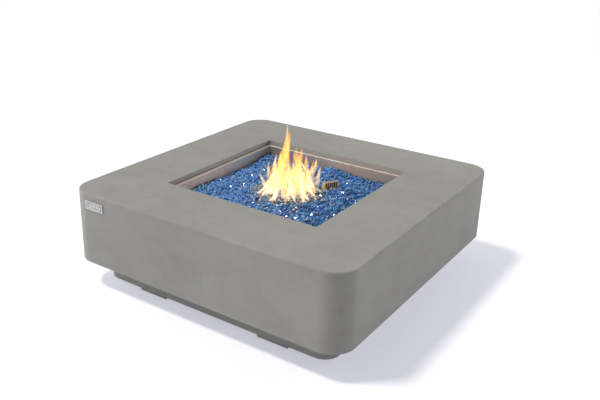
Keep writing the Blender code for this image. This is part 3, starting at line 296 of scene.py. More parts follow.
class Finish:
    """A material made of nodes round one Principled shader."""

    def __init__(self, name, **constants):
        self.material = bpy.data.materials.new(name)
        self.material.use_nodes = True
        self.tree = self.material.node_tree
        self.shader = self.tree.nodes["Principled BSDF"]
        for socket, value in constants.items():
            self.feed(self.shader.inputs[socket.replace("_", " ")], value)
        self.place = self.node("TexCoord", output="Object")

    def feed(self, socket, value):
        if isinstance(value, Value):
            self.tree.links.new(value.socket, socket)
        elif isinstance(value, tuple) and socket.type == "RGBA":
            socket.default_value = (*value, 1)
        else:
            socket.default_value = value

    def node(self, kind, settings=None, inputs=None, output=0):
        made = self.tree.nodes.new("ShaderNode" + kind)
        for key, value in (settings or {}).items():
            if key == "stops":
                ramp = made.color_ramp.elements
                while len(ramp) < len(value):
                    ramp.new(0.5)
                for stop, (position, colour) in zip(ramp, value):
                    stop.position, stop.color = position, (*colour, 1)
            else:
                setattr(made, key, value)
        named = enumerate(inputs) if isinstance(inputs, list) else (inputs or {}).items()
        by_identifier = {socket.identifier: socket for socket in made.inputs}
        for key, value in named:
            self.feed(by_identifier.get(key) or made.inputs[key], value)
        return Value(self, made.outputs[output])

    def noise(self, scale, detail=3, roughness=0.55, place=None):
        return self.node("TexNoise", None, {"Vector": place or self.place, "Scale": scale, "Detail": detail,
                                            "Roughness": roughness})

    def stretched(self, scale):
        """The place, with each axis scaled by itself."""
        return self.node("Mapping", None, {"Vector": self.place, "Scale": scale})

    def axes(self):
        parts = self.node("SeparateXYZ", None, [self.place]).socket.node.outputs
        return [Value(self, parts[axis]) for axis in "XYZ"]

    def mix(self, factor, first, second):
        inputs = {"Factor_Float": factor, "A_Color": first, "B_Color": second}
        return self.node("Mix", {"data_type": "RGBA"}, inputs, output=2)

    def bump(self, height, distance, strength=1.0):
        return self.node("Bump", None, {"Height": height, "Distance": distance, "Strength": strength})

    def show(self, **sockets):
        for socket, value in sockets.items():
            self.feed(self.shader.inputs[socket.replace("_", " ")], value)
        return self.material


def cast_concrete(name, half, corner, top, dark, light):
    """Concrete whose arrises, a rounded square's at half, corner and top, are rubbed a little lighter."""
    finish = Finish(name, Roughness=0.8, Specular_IOR_Level=0.35)
    x, y, z = finish.axes()
    clouds = finish.noise(2.6, 4, 0.6)
    trowel = finish.noise(14, 5, 0.62, finish.stretched((1.0, 1.0, 1.6)))
    grain = finish.noise(520, 2, 0.7)
    sand = finish.noise(150, 3, 0.6)
    cells = finish.node("TexVoronoi", {"feature": "F1"}, {"Vector": finish.place, "Scale": 85}, output="Distance")
    lot = finish.node("SeparateColor", None, [Value(finish, cells.socket.node.outputs["Color"])])
    pore = (1 - cells.between(0.03, 0.15)) * lot.between(0.89, 0.93)
    beyond_x, beyond_y = abs(x) - (half - corner), abs(y) - (half - corner)
    outside = (beyond_x.most(0) ** 2 + beyond_y.most(0) ** 2) ** 0.5
    side = outside + beyond_x.most(beyond_y).least(0) - corner
    from_arris = (side ** 2 + (z - top) ** 2) ** 0.5
    rubbed = (1 - from_arris.between(0.001, 0.013)) * trowel.between(0.35, 0.62)
    tone = clouds.between(0.30, 0.70) * 0.55 + trowel.between(0.30, 0.72) * 0.45
    colour = finish.mix(tone, dark, light)
    colour = finish.mix(sand.between(0.35, 0.75) * 0.16, colour, (0.40, 0.395, 0.37))
    colour = finish.mix(grain.between(0.62, 0.75) * 0.22, colour, (0.16, 0.158, 0.148))
    colour = finish.mix(rubbed * 0.12, colour, (0.47, 0.465, 0.44))
    # The rebate walls inside the opening are painted paler than the concrete: painted light, for the light that
    # falls on them.
    beyond_opening = abs(x).most(abs(y)).between(OPENING_HALF + 0.0003, OPENING_HALF + 0.0015)
    rebate_painted_light = (1 - beyond_opening) * z.between(0.315, 0.320)
    colour = finish.mix(rebate_painted_light * (0.55 + tone * 0.2), colour, (0.50, 0.475, 0.44))
    colour = finish.mix(pore * 0.6, colour, (0.12, 0.118, 0.108))
    relief = trowel * 0.5 + sand * 0.22 + grain * 0.10 - pore * 0.9
    normal = finish.bump(relief, 0.0006, 0.55)
    roughness = 0.74 + sand * 0.12 + pore * 0.1 - rubbed * 0.05
    return finish.show(Base_Color=colour, Roughness=roughness, Normal=normal)


drum = rounded_cube("concrete_drum", DRUM_LOW, DRUM_HIGH, DRUM_CORNER, 28)
drum_half = DRUM_HIGH.x
inside = drum_half - SKIRT_WALL
well_top = DRUM_HIGH.z
inner_corner = DRUM_CORNER - SKIRT_WALL
into_hollow = BOSS_TOP + 0.03
carve(drum, centred("hollow", inside, BOSS_TOP, well_top - SLAB, inner_corner),
      cube_between("hollow", (-inside, -BOSS_EDGE, BELOW_SKIRT), (inside, BOSS_EDGE, into_hollow)),
      cube_between("hollow", (-BOSS_EDGE, -inside, BELOW_SKIRT), (BOSS_EDGE, inside, into_hollow)),
      centred("hollow", inside, BELOW_SKIRT, RECESS_TOP, inner_corner))
carve(drum, cube_between("rim", (-RIM_HALF, -RIM_HALF, RIM_LOW), (RIM_HALF, RIM_HALF, well_top - SLAB / 2)),
      operation="UNION")
carve(drum, centred("throat", THROAT_HALF, 0.2, 0.4, OPENING_CORNER),
      centred("opening", OPENING_HALF, LEDGE_Z, 0.45, OPENING_CORNER))
panel_low, panel_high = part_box("control_panel")
carve(drum, cube_between("window", (panel_low.x + WINDOW_MARGIN, inside - 0.03, panel_low.z + WINDOW_MARGIN),
                         (panel_high.x - WINDOW_MARGIN, 0.6, panel_high.z - WINDOW_MARGIN)))
round_edges(drum, TOP_ROUNDING, 5, lambda at: at.z > well_top - 1e-4 and square_reach(at) > OUTER_ARRIS)
round_edges(drum, FOOT_ROUNDING, 4, lambda at: at.z < DRUM_LOW.z + 1e-4
            and (square_reach(at) > drum_half - 1e-4 or at.xy.length > CORNER_ARRIS))
round_edges(drum, OPENING_ROUNDING, 3, lambda at: at.z > well_top - 1e-4 and square_reach(at) < OPENING_ARRIS)
shade(drum)
drum_concrete = cast_concrete("drum_concrete", drum_half, DRUM_CORNER, well_top, CONCRETE_DARK, CONCRETE_LIGHT)
finish_piece(drum, drum_concrete, "table", "cast_concrete", "concrete_body")


# The plinth is a second casting of the same concrete, set back in the drum's shade; its colour is the drum's,
# painted darker as painted shade. It stands on two low feet on each side, cast in one with it, and its inside is
# hollow between four solid corners.
PLINTH_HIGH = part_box("base_plinth")[1]
PLINTH_CORNER = 0.055
PLINTH_BED = 0.015
PLINTH_WALL, PLINTH_BLOCK = 0.030, 0.090
FOOT_CENTRE, FOOT_LENGTH, FOOT_DEPTH, FOOT_INSET = 0.2475, 0.115, 0.016, 0.010
PLINTH_SHADE = 0.86

plinth_half = PLINTH_HIGH.x
plinth = rounded_cube("plinth_casting", (-plinth_half, -plinth_half, PLINTH_BED), PLINTH_HIGH, PLINTH_CORNER, 16)
wide, narrow = plinth_half - PLINTH_WALL, plinth_half - PLINTH_BLOCK
carve(plinth, cube_between("cavity", (-wide, -narrow, -0.1), (wide, narrow, 0.2)),
      cube_between("cavity", (-narrow, -wide, -0.1), (narrow, wide, 0.2)))
feet = []
for quarter in range(4):
    for side in (-1, 1):
        low = Vector((side * FOOT_CENTRE - FOOT_LENGTH / 2, FOOT_INSET - plinth_half, 0))
        foot = cube_between("foot", low, low + Vector((FOOT_LENGTH, FOOT_DEPTH, 2 * PLINTH_BED)))
        foot.data.transform(Matrix.Rotation(quarter * math.pi / 2, 4, "Z"))
        feet.append(foot)
carve(plinth, *feet, operation="UNION")
round_edges(plinth, 0.0025, 3, lambda at: at.z < PLINTH_BED + 1e-4)
shade(plinth)
# The plinth's tones are the drum's, darkened as painted shade.
plinth_painted_shade_tones = [tuple(PLINTH_SHADE * c for c in tone) for tone in (CONCRETE_DARK, CONCRETE_LIGHT)]
plinth_concrete = cast_concrete("plinth_concrete", plinth_half, PLINTH_CORNER, PLINTH_BED, *plinth_painted_shade_tones)
finish_piece(plinth, plinth_concrete, "table", "cast_concrete", "base_plinth")


# The burner tray is a folded stainless pan that hangs in the opening by its flange. Its satin sheet is coloured a
# warm taupe, partly the heat tone of the steel and partly painted firelight from the flame.
TRAY_LOW, TRAY_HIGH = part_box("burner_tray")
TRAY_HALF, TRAY_SHEET = 0.2890, 0.0015
TRAY_CORNER, TRAY_FOLD = 0.006, 0.0022
TRAY_LIP = 0.0009
DRAIN_REACH, DRAIN_RADIUS, INLET_RADIUS = 0.2358, 0.004, 0.0115
# Warm taupe colours: partly the steel's heat tone, partly painted firelight.
HEAT_TONE_AND_FIRELIGHT_STEEL, HEAT_TONE_AND_FIRELIGHT_TARNISH = (0.60, 0.565, 0.52), (0.50, 0.46, 0.41)


def brushed_steel(name, colour, tarnish, grain, roughness=0.34, along="Z", metallic=1.0):
    """Satin sheet with fine brush lines along one axis and soft tarnish."""
    finish = Finish(name, Metallic=metallic, Roughness=roughness)
    scale = [grain if axis != along else grain * 0.012 for axis in "XYZ"]
    lines = finish.noise(1.0, 2, 0.6, finish.stretched(tuple(scale)))
    clouds = finish.noise(9, 4, 0.6)
    smears = finish.noise(42, 4, 0.7)
    tone = clouds.between(0.3, 0.7) * 0.6 + smears.between(0.35, 0.7) * 0.4
    shown = finish.mix(tone, colour, tarnish)
    shown = finish.mix(lines.between(0.35, 0.75) * 0.25, shown, tuple(0.55 * c for c in colour))
    rough = roughness - 0.06 + lines * 0.12 + tone * 0.10
    return finish.show(Base_Color=shown, Roughness=rough, Normal=finish.bump(lines, 0.00005, 0.35))


tray = centred("burner_pan", TRAY_HALF, TRAY_LOW.z, TRAY_HIGH.z, TRAY_CORNER, 6)
round_edges(tray, TRAY_FOLD, 4, lambda at: at.z < TRAY_LOW.z + 1e-5)
with editing(tray):
    pick(tray, "FACE", lambda face: face.calc_center_median().z > TRAY_HIGH.z - 1e-5)
    bpy.ops.mesh.delete(type="ONLY_FACE")
    pick(tray, "EDGE", lambda edge: edge.is_boundary)
    bpy.ops.mesh.extrude_region_move(MESH_OT_extrude_region={"use_normal_flip": False})
    spread = TRAY_HIGH.x / TRAY_HALF
    bpy.ops.transform.resize(value=(spread, spread, 1))
round_edges(tray, TRAY_LIP, 3, lambda at: at.z > TRAY_HIGH.z - 1e-5 and square_reach(at) < TRAY_HALF + 1e-4)
bpy.context.view_layer.objects.active = tray
sheet = tray.modifiers.new("sheet", "SOLIDIFY")
sheet.thickness, sheet.offset = TRAY_SHEET, -1
bpy.ops.object.modifier_apply(modifier="sheet")
drains = []
for x in (-1, 0, 1):
    for y in (-1, 0, 1):
        bpy.ops.object.select_all(action="DESELECT")
        bpy.ops.mesh.primitive_cylinder_add(vertices=20, radius=DRAIN_RADIUS if x or y else INLET_RADIUS,
                                            depth=0.02, location=(x * DRAIN_REACH, y * DRAIN_REACH, TRAY_LOW.z))
        drains.append(bpy.context.object)
carve(tray, *drains)
shade(tray)
# The tray's colour carries painted firelight as well as heat tone.
heat_tone_and_firelight_steel = brushed_steel("heat_tone_and_painted_firelight_steel", HEAT_TONE_AND_FIRELIGHT_STEEL, HEAT_TONE_AND_FIRELIGHT_TARNISH, 900, 0.50, "Z", metallic=0.65)
finish_piece(tray, heat_tone_and_firelight_steel, "table", "stainless_steel", "burner_tray")


# The fire glass is tempered cobalt glass, crushed into chips of 8 to 16 mm and poured over the burner. The
# chips round the flame are greyed by soot, and their amber is painted firelight.
BED_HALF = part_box("fire_glass")[1].x
BED_FLOOR, BED_LAYER_TOP, BED_CORNER = 0.2710, 0.2800, 0.0045
BED_LEVEL = 0.2900
HEAP = 0.004
CHIP_SHAPES = 10
CHIP_LAYERS = ((-0.0078, 1.0), (-0.0026, 1.0), (0.0024, 0.66))
CHIP_SPACING = 0.0098
CHIP_RADIUS = (0.0050, 0.0090)
PILOT_REACH, PILOT_BEARING, PILOT_TURN = 0.156, math.radians(53.5), math.radians(61)
PILOT_PLACE = Vector((PILOT_REACH * math.cos(PILOT_BEARING), PILOT_REACH * math.sin(PILOT_BEARING), 0))
MOUNDS = ((0.03, 0.262, 0.012), (-0.272, 0.245, 0.007), (0.262, 0.10, 0.004), (-0.262, -0.12, 0.004))
GUARD_HALF, GUARD_FOOT_HALF, GUARD_HALF_IN_GLASS = 0.027, 0.022, 0.0150
POCKET_HALF = (0.0275, 0.0190)
SOOT_AND_FIRELIGHT_RADIUS = 0.150
COBALTS = ((0.022, 0.180, 0.600), (0.050, 0.290, 0.820), (0.110, 0.420, 0.960), (0.012, 0.085, 0.320),
           (0.210, 0.500, 0.980), (0.045, 0.330, 0.700), (0.340, 0.620, 1.000), (0.030, 0.230, 0.720))
PALE_AND_LIT_BLUE = (0.38, 0.64, 0.88)
# Colours of the chips round the flame: soot grey, and amber painted firelight.
SOOT_AND_FIRELIT = ((0.170, 0.185, 0.160), (0.360, 0.330, 0.220), (0.080, 0.100, 0.110), (0.460, 0.430, 0.330),
          (0.070, 0.170, 0.330))
rng = np.random.default_rng(11)


def chip_shape():
    """One crushed chip: an icosphere flattened and broken off along a few planes."""
    bpy.ops.object.select_all(action="DESELECT")
    bpy.ops.mesh.primitive_ico_sphere_add(subdivisions=1, radius=1)
    chip = bpy.context.object
    with editing(chip):
        bpy.ops.mesh.select_all(action="SELECT")
        bpy.ops.transform.resize(value=(1, rng.uniform(0.65, 0.95), rng.uniform(0.45, 0.75)))
        for _ in range(5):
            direction = Vector(rng.normal(size=3)).normalized()
            bpy.ops.mesh.select_all(action="SELECT")
            bpy.ops.mesh.bisect(plane_co=direction * rng.uniform(0.38, 0.6), plane_no=direction,
                                use_fill=True, clear_outer=True)
        bpy.ops.mesh.select_all(action="SELECT")
        bpy.ops.mesh.remove_doubles(threshold=0.08)
        bpy.ops.mesh.quads_convert_to_tris()
        bpy.ops.mesh.normals_make_consistent(inside=False)
    corners = np.array([vert.co[:] for vert in chip.data.vertices])
    faces = np.array([face.vertices[:] for face in chip.data.polygons])
    bpy.data.objects.remove(chip)
    return corners, faces


def heaped(x, y):
    """The poured surface: low waves, and the mounds that the pour left along the walls."""
    waves = np.sin(9 * x + 1.3) * np.cos(11 * y - 0.4) + 0.6 * np.sin(21 * x - 14 * y)
    mounds = sum(high * np.exp(-((x - at_x) ** 2 + (y - at_y) ** 2) / 0.004) for at_x, at_y, high in MOUNDS)
    return BED_LEVEL + HEAP * (0.2 + 0.45 * waves) + mounds


def poured_chips():
    """Where the chips lie and how big they are: a jittered net of layers, clear of walls and guard."""
    count = int(2 * BED_HALF / CHIP_SPACING)
    net = (np.arange(count) + 0.5) / count * 2 - 1
    x, y = (axis.ravel() * (BED_HALF - BED_CORNER) for axis in np.meshgrid(net, net))
    places, sizes = [], []
    for lift, share in CHIP_LAYERS:
        kept = rng.random(x.size) < share
        size = rng.uniform(*CHIP_RADIUS, kept.sum()) * rng.choice((0.75, 1.0, 1.15), kept.sum())
        px, py = (axis[kept] + rng.uniform(-0.45, 0.45, kept.sum()) * CHIP_SPACING for axis in (x, y))
        px, py = (np.clip(axis, size - BED_HALF, BED_HALF - size) for axis in (px, py))
        places.append(np.stack([px, py, heaped(px, py) + lift + rng.uniform(-0.0010, 0.0016, px.size)], 1))
        sizes.append(size)
    places, sizes = np.concatenate(places), np.concatenate(sizes)
    local = (places[:, :2] - np.array(PILOT_PLACE[:2])) @ np.array(Matrix.Rotation(-PILOT_TURN, 2)).T
    clear = (abs(local[:, 0]) > GUARD_HALF + sizes * 0.95) | (abs(local[:, 1]) > GUARD_HALF_IN_GLASS + sizes * 0.95)
    return places[clear], sizes[clear]


def turned_any_way(count):
    """Random rotation matrices."""
    q = rng.normal(size=(count, 4))
    w, i, j, k = (q / np.linalg.norm(q, axis=1, keepdims=True)).T
    rows = [[1 - 2 * (j * j + k * k), 2 * (i * j - k * w), 2 * (i * k + j * w)],
            [2 * (i * j + k * w), 1 - 2 * (i * i + k * k), 2 * (j * k - i * w)],
            [2 * (i * k - j * w), 2 * (j * k + i * w), 1 - 2 * (i * i + j * j)]]
    return np.moveaxis(np.array(rows), 2, 0)


def heap_of_chips(name, places, sizes, colours):
    """One mesh of many chips, with each chip's colour and its painted side light in one colour attribute."""
    turns, kinds = turned_any_way(len(places)), rng.integers(0, CHIP_SHAPES, len(places))
    tints_and_side_light = np.array(colours)[rng.integers(0, len(colours), len(places))]
    # The tints are painted lighter and paler towards -X and darker towards +X: painted light, as the key falls from
    # the left.
    tints_and_side_light = tints_and_side_light * rng.uniform(0.75, 1.35, (len(places), 1)) * (1.25 - 2.0 * places[:, :1])
    paleness_and_side_light = np.clip(rng.uniform(0.05, 0.55, (len(places), 1)) * (1.0 - 3.2 * places[:, :1]), 0, 0.8)
    tints_and_side_light += (np.array(PALE_AND_LIT_BLUE) - tints_and_side_light) * paleness_and_side_light
    tints_and_side_light /= np.maximum(1.0, tints_and_side_light.max(axis=1, keepdims=True))
    corners, faces, tint_and_side_light, start = [], [], [], 0
    for kind, (shape, sides) in enumerate(chip_shapes):
        chosen = np.flatnonzero(kinds == kind)
        moved = np.einsum("nab,vb->nva", turns[chosen], shape) * sizes[chosen, None, None] + places[chosen, None]
        corners.append(moved.reshape(-1, 3))
        steps = start + len(shape) * np.arange(len(chosen))
        faces.append((sides[None] + steps[:, None, None]).reshape(-1, 3))
        tint_and_side_light.append(np.repeat(tints_and_side_light[chosen], len(shape), axis=0))
        start += moved.shape[0] * moved.shape[1]
    corners, faces, tint_and_side_light = (np.concatenate(rows) for rows in (corners, faces, tint_and_side_light))
    mesh = bpy.data.meshes.new(name)
    mesh.from_pydata(corners.tolist(), [], faces.tolist())
    layer = mesh.color_attributes.new("chip_tint", "FLOAT_COLOR", "POINT")
    layer.data.foreach_set("color", np.concatenate([tint_and_side_light, np.ones((len(tint_and_side_light), 1))], 1).ravel())
    return placed(name, mesh)


def crushed_glass(name, clearness, roughness):
    finish = Finish(name, Roughness=roughness, IOR=1.52, Transmission_Weight=clearness, Specular_IOR_Level=0.6)
    # The attribute carries the chips' colours together with their painted side light.
    tint_and_side_light = finish.node("Attribute", {"attribute_name": "chip_tint"}, output="Color")
    swirl = finish.noise(260, 3, 0.6)
    colour = finish.mix(swirl.between(0.35, 0.75) * 0.3, tint_and_side_light, (0.30, 0.54, 0.78))
    return finish.show(Base_Color=colour, Roughness=roughness + swirl * 0.08)


chip_shapes = [chip_shape() for _ in range(CHIP_SHAPES)]
chip_places, chip_sizes = poured_chips()
from_flame = np.hypot(chip_places[:, 0], chip_places[:, 1]) + rng.normal(0, 0.016, len(chip_places))
near_flame = from_flame < SOOT_AND_FIRELIGHT_RADIUS * 0.86
left_half = chip_places[:, 0] + rng.normal(0, 0.1, len(chip_places)) < 0
blue_glass = crushed_glass("cobalt_glass", 0.38, 0.03)
firelit_soot_glass = crushed_glass("soot_and_painted_firelight_glass", 0.25, 0.14)
for name, chosen, colours, glass in (("glass_chips_a", ~near_flame & left_half, COBALTS, blue_glass),
                                     ("glass_chips_b", ~near_flame & ~left_half, COBALTS, blue_glass),
                                     ("glass_chips_soot_and_firelight", near_flame, SOOT_AND_FIRELIT, firelit_soot_glass)):
    chips = heap_of_chips(name, chip_places[chosen], chip_sizes[chosen], colours)
    finish_piece(chips, glass, "table", "blue_fire_glass")
bed = centred("glass_bed", BED_HALF, BED_FLOOR, BED_LAYER_TOP, BED_CORNER, 4)
pocket = cube_between("pocket", (-POCKET_HALF[0], -POCKET_HALF[1], 0.2), (*POCKET_HALF, 0.4))
pocket.data.transform(Matrix.Translation(PILOT_PLACE) @ Matrix.Rotation(PILOT_TURN, 4, "Z"))
carve(bed, pocket)
# The bed under the chips stands for the lower layers of glass and is painted near-black navy: painted shade in the
# gaps between the chips.
shaded_bed_finish = Finish("glass_bed_painted_shade", Roughness=0.3)
depth = shaded_bed_finish.noise(160, 3)
bed_gap_shade_blue = shaded_bed_finish.mix(depth.between(0.35, 0.7), (0.004, 0.018, 0.06), (0.012, 0.07, 0.2))
shaded_bed_finish.show(Base_Color=bed_gap_shade_blue, Normal=shaded_bed_finish.bump(depth, 0.002))
finish_piece(bed, shaded_bed_finish.material, "table", "blue_fire_glass", "fire_glass")


# The pilot guard is a folded hood over the spark rod and the thermocouple. Slots run across its top and down
# both sides, and the flame has tempered its steel straw and bronze.
GUARD_LOW, GUARD_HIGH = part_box("pilot_guard")
GUARD_TOP_HALF, GUARD_SHEET, GUARD_FOLD = 0.0100, 0.0010, 0.0024
LUG_NEAR, LUG_FAR, LUG_HALF, LUG_SCREW, LUG_HOLE = 0.026201, 0.038809, 0.0080, 0.033, 0.0023
TEMPER = ((0.20, (0.66, 0.60, 0.46)), (0.42, (0.92, 0.74, 0.36)), (0.60, (0.88, 0.62, 0.26)),
          (0.80, (0.66, 0.46, 0.28)), (0.95, (0.88, 0.76, 0.48)))
SLOTS, SLOT_PITCH, SLOT_WIDTH, SLOT_DROP, RIDGE = 6, 0.0080, 0.0044, 0.0220, 0.0012
foot_z, top_z = GUARD_LOW.z, GUARD_HIGH.z


def rod_between(name, low, high, radius, vertices=24, axis="Z"):
    """A cylinder primitive between two points that lie along Z or Y."""
    bpy.ops.object.select_all(action="DESELECT")
    low, high = Vector(low), Vector(high)
    bpy.ops.mesh.primitive_cylinder_add(vertices=vertices, radius=radius, depth=(high - low).length,
                                        location=(low + high) / 2,
                                        rotation={"Z": (0, 0, 0), "Y": (math.pi / 2, 0, 0)}[axis])
    piece = bpy.context.object
    piece.name = piece.data.name = name
    bpy.ops.object.transform_apply(location=True, rotation=True, scale=True)
    return piece


guard = cube_between("slotted_guard", (-GUARD_HALF, -GUARD_FOOT_HALF, foot_z), (GUARD_HALF, GUARD_FOOT_HALF, top_z))
with editing(guard):
    pick(guard, "FACE", lambda face: face.normal.z > 0.9)
    bpy.ops.transform.resize(value=(1, GUARD_TOP_HALF / GUARD_FOOT_HALF, 1))
    pick(guard, "FACE", lambda face: face.normal.z < -0.9)
    bpy.ops.mesh.delete(type="ONLY_FACE")
round_edges(guard, GUARD_FOLD, 4, lambda at: True)
bpy.context.view_layer.objects.active = guard
fold = guard.modifiers.new("fold", "SOLIDIFY")
fold.thickness, fold.offset = GUARD_SHEET, -1
bpy.ops.object.modifier_apply(modifier="fold")
lugs = [cube_between("lug", (left, -LUG_HALF, foot_z), (right, LUG_HALF, foot_z + GUARD_SHEET))
        for left, right in ((-LUG_FAR, -LUG_NEAR), (LUG_NEAR, LUG_FAR))]
carve(guard, *lugs, operation="UNION")
cuts = [rod_between("screw_hole", (x, 0, foot_z - 0.01), (x, 0, foot_z + 0.005), LUG_HOLE)
        for x in (-LUG_SCREW, LUG_SCREW)]
for number in range(SLOTS):
    x = (number - (SLOTS - 1) / 2) * SLOT_PITCH
    for near, far in ((-0.05, -RIDGE), (RIDGE, 0.05)):
        cuts.append(cube_between("slot", (x - SLOT_WIDTH / 2, near, top_z - SLOT_DROP),
                                 (x + SLOT_WIDTH / 2, far, top_z + 0.01)))
carve(guard, *cuts)
shade(guard)
# The hood's inner face is marked here to be painted near-black as painted shade inside the hood.
inside_shade_layer = guard.data.color_attributes.new("soot", "FLOAT_COLOR", "POINT")
for sample, vert in zip(inside_shade_layer.data, guard.data.vertices):
    at = vert.co
    half_here = GUARD_FOOT_HALF + (GUARD_TOP_HALF - GUARD_FOOT_HALF) * (at.z - foot_z) / (top_z - foot_z)
    in_hood_shade = min(GUARD_HALF - abs(at.x), top_z - at.z, half_here - abs(at.y)) > GUARD_SHEET * 0.55
    sample.color = (in_hood_shade, in_hood_shade, in_hood_shade, 1)
guard.data.transform(Matrix.Translation(PILOT_PLACE) @ Matrix.Rotation(PILOT_TURN, 4, "Z"))
tempered = Finish("tempered_steel", Metallic=0.5, Roughness=0.32)
heat = tempered.noise(70, 4, 0.6) * 0.7 + tempered.axes()[2].between(0.280, 0.318) * 0.5
temper = tempered.node("ValToRGB", {"stops": TEMPER}, [heat])
scale_soot = tempered.noise(260, 3, 0.7)
# The inner face of the hood is painted near-black: painted shade.
hood_inside_shade = tempered.node("Attribute", {"attribute_name": "soot"}, output="Fac")
flecked = tempered.mix(scale_soot.between(0.55, 0.8) * 0.35, temper, (0.05, 0.04, 0.035))
tempered.show(Base_Color=tempered.mix(hood_inside_shade, flecked, (0.012, 0.011, 0.010)),
              Roughness=0.26 + scale_soot * 0.25, Normal=tempered.bump(scale_soot, 0.00008, 0.4))
finish_piece(guard, tempered.material, "table", "stainless_steel", "pilot_guard")


# The name plate is a small stainless plate on the front, with a raised rim and a plain ornament of lozenges
# between two bars. Its sunk ground is etched dark.
PLATE_LOW, PLATE_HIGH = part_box("name_plate")
PLATE_FACE, PLATE_BACK = PLATE_LOW.y, PLATE_LOW.y + 0.0022
PLATE_CORNER, PLATE_RIM, PLATE_SINK = 0.0025, 0.0022, 0.0007
MARK_TOP, MARK_FOOT = PLATE_FACE + 0.0001, PLATE_FACE + PLATE_SINK + 0.0003
LOZENGES, LOZENGE_PITCH, LARGE_LOZENGE, SMALL_LOZENGE = 9, 0.0070, 0.0030, 0.0017
BAR_HALF, BAR_THICK, STUD_RADIUS, STUD_INSET = 0.030, 0.0012, 0.0018, 0.008
plate_middle = Vector(((PLATE_LOW.x + PLATE_HIGH.x) / 2, 0, (PLATE_LOW.z + PLATE_HIGH.z) / 2))


def from_front_to_back(edge):
    return abs((edge.verts[0].co - edge.verts[1].co).normalized().y) > 0.9


def along_y(name, x, z, near, far, radius, vertices=24):
    """A cylinder along Y, between two depths."""
    return rod_between(name, (x, near, z), (x, far, z), radius, vertices, "Y")


plate = cube_between("maker_plate", (PLATE_LOW.x, PLATE_FACE, PLATE_LOW.z),
                     (PLATE_HIGH.x, PLATE_BACK, PLATE_HIGH.z))
with editing(plate):
    pick(plate, "EDGE", from_front_to_back)
    bpy.ops.mesh.bevel(offset=PLATE_CORNER, segments=5, affect="EDGES")
    pick(plate, "FACE", lambda face: face.normal.y < -0.9)
    bpy.ops.mesh.inset(thickness=PLATE_RIM)
    bpy.ops.mesh.extrude_region_move(TRANSFORM_OT_translate={"value": (0, PLATE_SINK, 0)})
round_edges(plate, 0.0003, 2, lambda at: at.y < PLATE_FACE + 0.0009)
marks = []
for number in range(LOZENGES):
    size = SMALL_LOZENGE if number % 2 else LARGE_LOZENGE
    lozenge = cube_between("lozenge", (-size, MARK_TOP, -size), (size, MARK_FOOT, size))
    lozenge.data.transform(Matrix.Translation((plate_middle.x + (number - 4) * LOZENGE_PITCH, 0, plate_middle.z))
                           @ Matrix.Diagonal((0.75, 1, 1, 1)) @ Matrix.Rotation(math.pi / 4, 4, "Y"))
    marks.append(lozenge)
for z in (plate_middle.z - 0.0078, plate_middle.z + 0.0072):
    marks.append(cube_between("bar", (plate_middle.x - BAR_HALF, MARK_TOP, z - BAR_THICK / 2),
                              (plate_middle.x + BAR_HALF, MARK_FOOT, z + BAR_THICK / 2)))
for x in (PLATE_LOW.x + STUD_INSET, PLATE_HIGH.x - STUD_INSET):
    marks.append(along_y("stud", x, plate_middle.z, PLATE_BACK - 0.0010, PLATE_HIGH.y, STUD_RADIUS))
carve(plate, *marks, operation="UNION")
shade(plate)
etched = Finish("etched_steel", Metallic=1.0, Roughness=0.3)
sunk = etched.axes()[1].between(PLATE_FACE + 0.00015, PLATE_FACE + PLATE_SINK)
wear = etched.noise(120, 4, 0.65)
brush = etched.noise(1.0, 2, 0.6, etched.stretched((14, 900, 1100)))
bright = etched.mix(brush.between(0.3, 0.7) * 0.35, (0.74, 0.735, 0.72), (0.56, 0.555, 0.54))
etched.show(Base_Color=etched.mix(sunk * (0.45 + wear.between(0.35, 0.65) * 0.4), bright, (0.24, 0.225, 0.205)),
            Roughness=0.26 + sunk * 0.22 + wear * 0.08, Normal=etched.bump(brush, 0.00003, 0.3))
finish_piece(plate, etched.material, "table", "stainless_steel", "name_plate")


# The control panel is a stainless pan let into the back of the skirt, its flange screwed to the outside. The
# gas knob and the igniter stand in its recess, with printed marks beside them.
PANEL_LOW, PANEL_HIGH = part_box("control_panel")
PANEL_FRONT, PANEL_FACE, PANEL_SHEET = PANEL_HIGH.y, PANEL_HIGH.y - 0.035, 0.0015
PANEL_CORNER, FLANGE_THICK, FLANGE_WIDE = 0.006, 0.0022, 0.013
CONTROL_Z, KNOB_X, IGNITER_X = (PANEL_LOW.z + PANEL_HIGH.z) / 2, 0.040, -0.045
NECK_HOLE, BARREL_HOLE, SCREW_HOLE, SCREW_REACH = 0.0085, 0.0111, 0.0023, (0.0885, 0.0485)
INK_UNDER, INK_TOP = PANEL_FACE - 0.00005, PANEL_FACE + 0.00012
DIAL_BARS, DIAL_FROM, DIAL_STEP, DIAL_REACH = 10, 35, 14, 0.0228
SIGN_Z = CONTROL_Z + 0.0245
SPARK = ((-0.0010, 0.0042), (0.0022, 0.0006), (0.0006, 0.0006), (0.0012, -0.0042), (-0.0022, -0.0006),
         (-0.0006, -0.0006))

